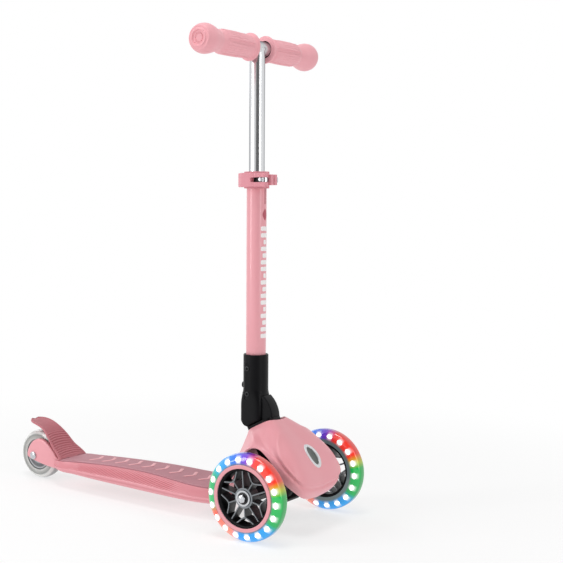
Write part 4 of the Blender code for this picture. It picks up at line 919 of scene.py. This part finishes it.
def buildFoldJoint():
    # The sleeve's lump is slotted for the disc, bored for the tube and sunk for the pad on its side
    lump = meshOf("socket_shell", [foldLump()])
    disc = np.array([(fold["slotR"] * math.cos(a), fold["slotR"] * math.sin(a)) for a in angles(72)])
    slot = padGrid(disc, -fold["slotHalf"], fold["slotHalf"], 0.0002, along("y", foldPin))
    bore = turnedGrid([(0, 0.200), (0.0144, 0.200), (0.0144, 0.30), (0, 0.30)], (stemX, 0, 0), "z", 64)
    back, height = stemX - fold["padBack"], fold["padAt"]
    recess = padGrid(superellipse(0.0062, 0.0262, 4, 72), -0.0006, 0.02, 0.0006,
                     along("-y", (back, -0.0170, height)))
    cutters = [meshOf("cutter", [grid]) for grid in (slot, bore, recess)]
    addPiece("socket_shell", cutBy(lump, *cutters), blackPlastic, "stem", "black_plastic", ["fold_socket"], 32)
    plate = padGrid(superellipse(0.0054, 0.0254, 4, 72), -0.004, -0.0005, 0.0005,
                    along("-y", (back, -0.0162, height)))
    shape("socket_pad", [plate], blackPlastic, "stem", "black_plastic", sharp=50)
    side = padGrid(discOutline(), -fold["discHalf"], fold["discHalf"], 0.0016, along("y", foldPin))
    shape("neck_disc", [side, neckGrid()], blackPlastic, "deck", "black_plastic", ["fold_neck"], 32)
    cup = eased(fold["screwCup"], (0, 0.0003, 0.0006, 0.0003, 0.0002, 0), 4)
    for name, z in fold["screws"]:
        shape("socket_screw_head_" + name, [turnedGrid(cup, (back, 0, z), "y", 40)], paintedSteel, "stem",
              "black_steel", ["socket_screw_" + name])
    lip = ringProfile(fold["sleeveR"] - 0.0004, column["tubeR"] + 0.0002, 0.2362, 0.2396, 0.0011)
    shape("sleeve_lip", [turnedGrid(lip, (stemX, 0, 0), "z", 96, closed=True)], blackPlastic, "stem",
          "black_plastic")


def buildColumn():
    # A tube slit at the top in front and pierced behind for the button, with printed bars down its front
    radius = column["tubeR"]
    wall = ringProfile(radius, column["bore"], column["foot"], column["head"])
    tube = meshOf("column_tube", [turnedGrid(wall, (stemX, 0, 0), "z", 128, closed=True)])
    slit = boxMesh((stemX + 0.004, -0.0012, 0.455), (stemX + 0.03, 0.0012, 0.6), 0.0006)
    rear = boxMesh((stemX - 0.03, -0.0034, 0.4515), (stemX - 0.004, 0.0034, 0.4585), 0.0)
    addPiece("column_tube", cutBy(tube, slit, rear), powderCoat, "stem", "pink_painted_metal", ["outer_tube"])

    def place(grid):
        # Wrapped round the tube's front: angle = a / radius
        turn = grid[..., 0] / radius
        out = radius + grid[..., 2]
        return np.stack([stemX + out * np.cos(turn), out * np.sin(turn), grid[..., 1]], -1)
    low, high = column["print"]
    widths, ink = column["rungWidths"], (-0.0002, 0.00012, 0.00005, place)
    bars = []
    for k in range(column["rungs"]):
        z = low + (high - low) * (k + 0.5) / column["rungs"]
        outline = superellipse(widths[k % len(widths)], column["rungHalf"], 6, 40) + (0.0, z)
        bars.append(padGrid(outline, *ink, edgeSteps=3))
    shape("tube_bars", bars, whitePrint, "stem", "pink_painted_metal", sharp=80)
    diamond = superellipse(0.0052, 0.0085, 1.3, 48) + (0, column["diamondAt"])
    shape("tube_diamond", [padGrid(diamond, *ink, edgeSteps=3)], rosePrint, "stem", "pink_painted_metal",
          sharp=80)


handle = {"height": 0.675, "radius": 0.0111, "bore": 0.0096, "foot": 0.2502, "half": 0.1374}


def buildHandlebar():
    # Two tubes that cross in a T, and the weld bead between them
    radius, height = handle["radius"], handle["height"]
    upright = ringProfile(radius, handle["bore"], handle["foot"], height - 0.002)
    cross = ringProfile(radius, handle["bore"], -handle["half"], handle["half"], 0.0006)
    bead = eased([(radius - 0.001, 0), (radius + 0.0018, 0.0004), (radius + 0.0002, 0.0026),
                  (radius - 0.001, 0.003)], 0.0007, 5, closed=True)
    turned = turnedGrid(bead, (stemX, 0, 0), "z", 96, closed=True)
    # the weld follows the crossbar's underside: it sinks by sqrt(radius^2 - x^2)
    offX = turned["at"][..., 0] - stemX
    drop = np.sqrt(np.maximum(radius ** 2 - offX ** 2, 0.0))
    turned["at"][..., 2] += height - drop - 0.0012
    shape("t_bar_tubes", [turnedGrid(upright, (stemX, 0, 0), "z", 112, closed=True),
                          turnedGrid(cross, (stemX, 0, height), "y", 96, closed=True)],
          aluminium, "handlebar", "aluminium", ["t_bar"])
    shape("t_bar_weld", [turned], aluminium, "handlebar", "aluminium")


grip = {
    # radius, distance from the middle
    "profile": [(0.0000, 0.1412), (0.0080, 0.1414), (0.0094, 0.1418), (0.0103, 0.1431), (0.0118, 0.1432),
                (0.0127, 0.1420), (0.0140, 0.1414), (0.0152, 0.1416), (0.0165, 0.1412), (0.0180, 0.1392),
                (0.0195, 0.1355), (0.0203, 0.1312), (0.0204, 0.1275), (0.0195, 0.1215), (0.0180, 0.1160),
                (0.0162, 0.1085), (0.0148, 0.1035), (0.0143, 0.1000), (0.0148, 0.0965), (0.0155, 0.0920),
                (0.0158, 0.0750), (0.0157, 0.0550), (0.0153, 0.0350), (0.0152, 0.0270), (0.0158, 0.0238),
                (0.0172, 0.0222), (0.0178, 0.0208), (0.0176, 0.0188), (0.0160, 0.0181), (0.0113, 0.0181)],
    "panels": 5, "panelRise": 0.0011, "ridges": 5, "ridgeRise": 0.0006, "ribPitch": 0.0030, "widest": 0.0204,
    "dots": 14, "dotCircle": 0.0060, "dotR": 0.0009, "end": 0.1414,
}


def buildGrips():
    # Radius along the grip from its profile, raised into panels round the barrel
    keys = [(i, pair) for i, pair in enumerate(grip["profile"])]
    fine = through(keys, np.linspace(0, len(keys) - 1, 380))
    radius, reach = fine[:, 0].clip(0)[:, None], fine[:, 1][:, None]
    turn = angles(220)[None]
    panelTurn = (turn * grip["panels"] / (2 * np.pi)) % 1.0 - 0.5
    # panels are rounded rectangles, ribbed lengthwise, with cross ribs near the inner end
    inPanel = 1 - step(np.abs(panelTurn), 0.36, 0.40)
    inPanel = inPanel * step(reach, 0.028, 0.032) * (1 - step(reach, 0.090, 0.095))
    lengthwise = 0.5 + 0.5 * np.cos(2 * np.pi * panelTurn * grip["ridges"] / 0.8)
    lengthwise = lengthwise * step(reach, 0.046, 0.050)
    crosswise = (0.5 + 0.5 * np.cos(2 * np.pi * reach / grip["ribPitch"])) * (1 - step(reach, 0.044, 0.048))
    rise = inPanel * (grip["panelRise"] + grip["ridgeRise"] * (lengthwise + crosswise))
    # the inner flange stands taller up and down than fore and aft
    tall = 1 + 0.10 * np.sin(turn) ** 2 * (1 - step(reach, 0.0215, 0.027))
    fade = step(radius, 0.012, 0.014)
    radius = np.minimum((radius + rise * fade) * tall, grip["widest"])
    for name, axis, sign in (("right", "-y", -1), ("left", "y", 1)):
        at = np.stack([stemX + radius * np.cos(turn), sign * reach + 0 * turn,
                       handle["height"] + radius * np.sin(turn)], -1)
        # a ring of dots stands on the knob's end
        dots = []
        for k in range(grip["dots"]):
            a = 2 * np.pi * k / grip["dots"]
            centre = (stemX + grip["dotCircle"] * math.cos(a), sign * grip["end"],
                      handle["height"] + grip["dotCircle"] * math.sin(a))
            dots.append(padGrid(superellipse(grip["dotR"], grip["dotR"], 2, 10), -0.0006, 0.0008, 0.0003,
                                along(axis, centre), 0.0001, 3))
        shape("grip_skin_" + name, [{"at": at}], gripRubber, "handlebar", "pink_rubber", ["grip_" + name])
        shape("grip_dots_" + name, dots, gripRubber, "handlebar", "pink_rubber")


clamp = {
    # the lever's slot and the bolt's end in it, from the column's middle; the nut's radius and ends
    "slotAt": (0.0140, -0.0205), "boltAt": (0.0175, -0.0205), "height": 0.48925,
    "nut": (0.0068, 0.0084, 0.0134),
}


def buildClamp():
    # Collar and lever keep the CAD's shape with soft edges; a slot is cut through the lever for its bolt
    slotPlace, boltPlace = (along("-y", (stemX + x, y, clamp["height"]))
                            for x, y in (clamp["slotAt"], clamp["boltAt"]))
    rose = (roseClamp, "clamp_lever", "dark_pink_plastic")
    addPiece("collar_shell", softCopy("clamp_collar", 0.00045, 4), roseClamp, "stem", "dark_pink_plastic",
             ["clamp_collar"], 50)
    slot = meshOf("cutter", [padGrid(superellipse(0.0098, 0.0034, 5, 60), -0.006, 0.01, 0.0005, slotPlace)])
    addPiece("lever_shell", cutBy(softCopy("clamp_lever", 0.0005, 16), slot), *rose, ["clamp_lever"], 50)
    # the slot's floor is a black plate: painted shade in the deep, narrow slot
    shape("lever_slot_shade_floor", [padGrid(superellipse(0.0096, 0.0033, 5, 60), -0.0050, -0.0036, 0.0003,
                                       slotPlace)], blackPlastic, "clamp_lever", "dark_pink_plastic")
    shape("lever_bolt_end", [padGrid(superellipse(0.0030, 0.0029, 2, 40), -0.0040, -0.0008, 0.0006,
                                     boltPlace, 0.0004)], steel, "clamp_lever", "steel")
    dome = padGrid(superellipse(0.0029, 0.0029, 2, 40), -0.006, 0.0, 0.0010,
                   along("-x", (stemX - 0.0157, 0, column["buttonAt"])), 0.0010)
    shape("height_button_dome", [dome], steel, "height_button", "steel", ["height_button"])
    nut = hexHead(*clamp["nut"], "y", middleOf("clamp_nut") * (1, 0, 1), 30)
    shape("clamp_nut_faceted", [nut], steel, "stem", "steel", ["clamp_nut"], 20)


buildFoldJoint()
buildColumn()
buildHandlebar()
buildGrips()
buildClamp()
print("fold joint, column, handlebar, grips and clamp made")

wheel = {
    "half": 0.012, "crown": 0.0605,
    # one side of the tyre's section, out from the hub: radius and distance from the middle
    "tyreSide": [(0.0408, 0.0116), (0.0530, 0.0119), (0.0600, 0.0068)],
    "hubR": 0.0407, "rimInner": 0.0366, "boss": 0.0140, "bore": 0.0110, "face": 0.0088, "ribHalf": 0.0011,
    # straight spokes and forks: where they start in degrees, where a fork parts and how far it spreads
    "count": 5, "straightFrom": -4.0, "forkFrom": 32.0, "stem": 0.0266, "spread": 21.0,
    "trimOut": 0.0455, "trimIn": 0.0405, "trimStand": 0.0013,
    "headR": 0.0062, "headStand": 0.0030, "shankR": 0.0036, "shankTo": 0.0365,
}
rearWheel = {
    "tyreSide": [(0.0240, 0.0110), (0.0330, 0.0120), (0.0392, 0.0080)], "crown": 0.0400,
    "coreSide": [(0.0112, 0.0105), (0.0150, 0.0105), (0.0165, 0.0075), (0.0200, 0.0075), (0.0215, 0.0105),
                 (0.0240, 0.0105)],
}


def treadBand(side, crown, crownFillet, axle, segments):
    # One side's points mirrored over the crown, shoulders rounded on 4 mm, and turned about the axle
    corners = [(r, -w) for r, w in side] + [(crown, 0.0)] + [(r, w) for r, w in reversed(side)]
    section = eased(corners, (0, 0.004, 0.004, crownFillet, 0.004, 0.004, 0), 8)
    return turnedGrid(np.vstack([section, section[:1]]), axle, "y", segments)


def clockPoint(degrees, radius, axle):
    # Clockwise from the top, seen from the rider's right
    turn = np.radians(degrees)
    return np.stack([axle[0] + radius * np.sin(turn), axle[1] + 0 * turn,
                     axle[2] + radius * np.cos(turn)], -1)


def buildHub(name, body, axle):
    # Ribs stand across the wheel's width: straight ones, and forks whose arms bow out to the rim
    face, edge = wheel["face"], wheel["half"] - 0.001
    outR, inR, bossR, boreR = wheel["hubR"], wheel["rimInner"], wheel["boss"], wheel["bore"]
    rim = eased([(outR, -edge), (outR, edge), (inR + 0.0014, edge), (inR, face), (inR, -face),
                 (inR + 0.0014, -edge)], 0.0008, 4, closed=True)
    boss = eased([(bossR, -face), (bossR, face), (boreR + 0.0003, face), (boreR, face - 0.0006),
                  (boreR, -face + 0.0006), (boreR + 0.0003, -face)], 0.0005, 4, closed=True)
    spokes = [turnedGrid(boss, axle, "y", 72, closed=True)]
    share = np.linspace(-1.02, 1.02, 41)
    # the fork's arms: radius = stem + (rim - stem) * share^2
    bow = wheel["stem"] + (inR - wheel["stem"]) * share ** 2
    for k in range(wheel["count"]):
        straight, fork = wheel["straightFrom"] + 72 * k, wheel["forkFrom"] + 72 * k
        long, short = np.linspace(bossR - 0.001, inR + 0.001, 24), np.linspace(bossR - 0.001, wheel["stem"], 14)
        for degrees, reach, high in ((straight + 0 * long, long, face - 0.0002),
                                     (fork + 0 * short, short, face - 0.0003),
                                     (fork + wheel["spread"] * share, bow, face - 0.0002)):
            section = superellipse(wheel["ribHalf"], high, 7, 28)
            spokes.append(sweptGrid(clockPoint(degrees, reach, axle), section, (0, 1, 0)))
    # the spokes' colour is painted lighter at the wheel's face and darker deeper in, as highlight and shade
    hubMaterial = greyNylon(name + " nylon", "#83888D", "#2B2D30", axle, face, 0.0012)
    shape("hub_spokes_" + name, spokes, hubMaterial, body, "grey_nylon", ["hub_" + name], 45)
    shape("hub_rim_" + name, [turnedGrid(rim, axle, "y", 160, closed=True)], blackPlastic, body, "grey_nylon")


def buildFrontWheel(name, sign):
    # Tyre with lit lenses, pink trim band on its outer side, hub, axle bolt and bearing shield
    body, axle, half = "front_wheel_" + name, middleOf("tyre_" + name), wheel["half"]
    tyre = treadBand(wheel["tyreSide"], wheel["crown"], 0.0035, axle, 240)
    shape("tyre_band_" + name, [tyre], glowingPolyurethane("lit polyurethane " + name, axle), body,
          "clear_polyurethane", ["tyre_" + name, "led_ring_" + name])
    lens = superellipse(glow["ledHalfLong"], glow["ledHalfWide"], 2.0, 28)
    lenses = []
    for k in range(glow["ledCount"]):
        clock = math.radians(glow["ledPhase"] + 360 * k / glow["ledCount"])
        for way in (-1, 1):
            def place(grid, clock=clock, way=way):
                # a runs along the rim and b outwards from the axle
                out = glow["ledRadius"] + grid[..., 1]
                turn = clock + grid[..., 0] / glow["ledRadius"]
                return np.stack([axle[0] + out * np.sin(turn), axle[1] + way * (half - 0.0004 + grid[..., 2]),
                                 axle[2] + out * np.cos(turn)], -1)
            lenses.append(padGrid(lens, -0.0006, 0.0001, 0.0002, place, 0.0003, 3))
    shape("lit_lenses_" + name, lenses, litLens, body, "led_white")
    low, high = 0.0113, half + wheel["trimStand"]
    band = eased([(wheel["trimIn"], low), (wheel["trimIn"], high), (wheel["trimOut"], high),
                  (wheel["trimOut"], low)], 0.0006, 5, closed=True)
    shape("trim_band_" + name, [turnedGrid(band * (1, sign), axle, "y", 200, closed=True)], pinkPlastic, body,
          "pink_plastic", ["rim_ring_" + name])
    buildHub(name, body, axle)
    axis, reach = "y" if sign > 0 else "-y", half + wheel["headStand"]
    head = hexHead(wheel["headR"], half, reach, axis, axle, 20)
    shank = [(0.0, -wheel["shankTo"]), (wheel["shankR"], -wheel["shankTo"]), (wheel["shankR"], half + 0.0005),
             (0.0, half + 0.0005)]
    shape("axle_head_" + name, [head, turnedGrid(np.array(shank) * (1, sign), axle, "y", 40)], steel, "truck",
          "steel", ["front_axle_bolt_" + name])
    seat = eased([(0.003, 0.0085), (0.003, 0.0112), (0.0082, 0.0112), (0.0090, 0.0085)], 0.0004, 4,
                 closed=True)
    shape("bearing_shield_" + name, [turnedGrid(seat * (1, sign), axle, "y", 48, closed=True)], paintedSteel,
          body, "black_steel")


def buildRearWheel():
    # A clear tyre round a spool-shaped core, and the axle's two heads on the fork arms
    tyre = treadBand(rearWheel["tyreSide"], rearWheel["crown"], 0.003, rearAxle, 180)
    shape("rear_tyre_band", [tyre], clearPolyurethane(rearAxle), "rear_wheel", "clear_polyurethane",
          ["rear_tyre"])
    side = rearWheel["coreSide"]
    core = eased([(r, -w) for r, w in side] + [(r, w) for r, w in reversed(side)], 0.0008, 4, closed=True)
    # the core's colour is painted lighter at its face and darker deeper in, as highlight and shade
    nylon = greyNylon("rear core nylon", "#A9ADB0", "#6E7276", rearAxle, 0.0105, 0.003)
    shape("rear_core_hub", [turnedGrid(core, rearAxle, "y", 96, closed=True)], nylon, "rear_wheel",
          "grey_nylon", ["rear_core"])
    centre = rearAxle * (1, 0, 1)
    heads = [hexHead(0.0065, 0.0222, 0.0247, "-y", centre, 12),
             hexHead(0.0064, 0.0222, 0.0250, "y", centre, 24)]
    shape("rear_axle_head", heads, steel, "deck", "steel")


buildFrontWheel("right", -1)
buildFrontWheel("left", 1)
buildRearWheel()
print("wheels made")

# the black chassis and truck keep the CAD's shape with soft edges
for name, node, body in (("chassis_shell", "front_chassis", "deck"), ("carrier_shell", "axle_carrier", "truck")):
    addPiece(name, softCopy(node, 0.0008, 5), blackPlastic, body, "black_plastic", [node])
# the CAD nodes still showing take the finish of their slot
finishes = {"black_steel": paintedSteel, "steel": steel, "black_plastic": blackPlastic,
            "grey_nylon": blackPlastic, "rubber": blackPlastic, "pink_plastic": pinkPlastic,
            "dark_pink_plastic": roseClamp}
shown = [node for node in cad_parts.values() if not node.hide_render]
for node in shown:
    used = node.data.materials[0].name.split(".")[0] if node.data.materials else "steel"
    for slot in node.material_slots:
        slot.link = "OBJECT"
        slot.material = finishes.get(used, steel)
print("carried over: %d CAD nodes" % len(shown))

studio = {
    # name, azimuth in degrees, distance, height, width, length, watts
    "lamps": [("left strip", -122, 2.3, 1.1, 0.5, 2.0, 24), ("right strip", -10, 2.3, 0.9, 0.4, 2.0, 10),
              ("overhead", -60, 0.5, 2.3, 0.7, 0.7, 13), ("back", 150, 2.4, 1.4, 1.0, 1.0, 8)],
    "worldFill": 0.46, "paper": 0.66, "fadeFrom": 0.35, "fadeTo": 1.1, "floorR": 1.6,
    # the dark flag's middle, where its shade starts and is full, and how much light it leaves
    "flagAzimuth": -46, "flagFrom": 36, "flagTo": 20, "flagLight": 0.12,
}


def buildFloor():
    # A paper disc that fades into the white backdrop: all emission past studio["fadeTo"] from the middle
    material, tree, shader, place = plainMaterial("white paper floor", "#FFFFFF", 0.9)
    away = addNode(tree, "ShaderNodeVectorMath", {"operation": "LENGTH"}, {0: place})
    fade = addNode(tree, "ShaderNodeMapRange",
                   {"From Min": studio["fadeFrom"], "From Max": studio["fadeTo"], "To Min": studio["paper"],
                    "interpolation_type": "SMOOTHSTEP"}, {"Value": away.outputs["Value"]})
    white = addNode(tree, "ShaderNodeEmission", {"Color": (1, 1, 1, 1), "Strength": 1.0})
    mix = addNode(tree, "ShaderNodeMixShader", {},
                  {0: fade.outputs[0], 1: shader.outputs[0], 2: white.outputs[0]})
    tree.links.new(mix.outputs[0], tree.nodes["Material Output"].inputs["Surface"])
    mesh = meshOf("floor", [turnedGrid([(0, 0), (studio["floorR"], 0)], (0, 0, 0), "z", 96)])
    mesh.materials.append(material)
    floor = bpy.data.objects.new("floor", mesh)
    bpy.context.scene.collection.objects.link(floor)


def buildWorld():
    # White to the camera, a dim even fill to surfaces, and to reflections a bright room with a tall dark flag:
    # the cosine between each level direction and the flag's says how much of it shows
    world = bpy.data.worlds.new("studio")
    bpy.context.scene.world = world
    world.use_nodes = True
    tree = world.node_tree
    tree.nodes.clear()
    path = addNode(tree, "ShaderNodeLightPath")
    place = addNode(tree, "ShaderNodeTexCoord").outputs["Generated"]
    azimuth = math.radians(studio["flagAzimuth"])
    level = addNode(tree, "ShaderNodeVectorMath", {"operation": "MULTIPLY", 1: (1, 1, 0)}, {0: place})
    unit = addNode(tree, "ShaderNodeVectorMath", {"operation": "NORMALIZE"}, {0: level.outputs[0]})
    towards = addNode(tree, "ShaderNodeVectorMath",
                      {"operation": "DOT_PRODUCT", 1: (math.cos(azimuth), math.sin(azimuth), 0)},
                      {0: unit.outputs[0]})
    flag = addNode(tree, "ShaderNodeMapRange",
                   {"From Min": math.cos(math.radians(studio["flagFrom"])),
                    "From Max": math.cos(math.radians(studio["flagTo"])),
                    "To Min": 1.0, "To Max": studio["flagLight"]}, {"Value": towards.outputs["Value"]})
    fill = addNode(tree, "ShaderNodeMix", {"data_type": "FLOAT", 2: studio["worldFill"]},
                   {0: path.outputs["Is Glossy Ray"], 3: flag.outputs[0]})
    strength = addNode(tree, "ShaderNodeMix", {"data_type": "FLOAT", 3: 1.0},
                       {0: path.outputs["Is Camera Ray"], 2: fill.outputs[0]})
    backdrop = addNode(tree, "ShaderNodeBackground", {"Color": (1, 1, 1, 1)},
                       {"Strength": strength.outputs[0]})
    addNode(tree, "ShaderNodeOutputWorld", {}, {"Surface": backdrop.outputs[0]})


def buildLamps():
    # Tall strips stand either side of the lens; one softbox hangs overhead and one lights the back
    middle = Vector((0.0, 0.0, 0.30))
    for name, azimuth, away, height, wide, tall, power in studio["lamps"]:
        lamp = bpy.data.lights.new(name, "AREA")
        lamp.shape = "RECTANGLE"
        lamp.size, lamp.size_y = wide, tall
        lamp.energy = power
        holder = bpy.data.objects.new(name, lamp)
        turn = math.radians(azimuth)
        holder.location = (away * math.cos(turn), away * math.sin(turn), height)
        holder.rotation_euler = (middle - holder.location).to_track_quat("-Z", "Y").to_euler()
        bpy.context.scene.collection.objects.link(holder)


# where the lens stands, its tilt down and its turn in degrees, focal length in millimetres, sideways shift
view = {"at": (1.0937, -1.4094, 0.4553), "down": 3.788, "turn": 37.22, "lens": 74.97, "shift": 0.1924}


def buildCamera():
    # A long lens at the height of the column's middle, shifted sideways rather than turned
    camera = bpy.data.cameras.new("camera")
    camera.lens = view["lens"]
    camera.sensor_width = 36
    camera.shift_x = view["shift"]
    holder = bpy.data.objects.new("camera", camera)
    holder.location = view["at"]
    holder.rotation_euler = (math.radians(90 - view["down"]), 0, math.radians(view["turn"]))
    bpy.context.scene.collection.objects.link(holder)
    bpy.context.scene.camera = holder


buildFloor()
buildWorld()
buildLamps()
buildCamera()
bpy.context.scene.view_settings.view_transform = "Standard"
print("studio ready")
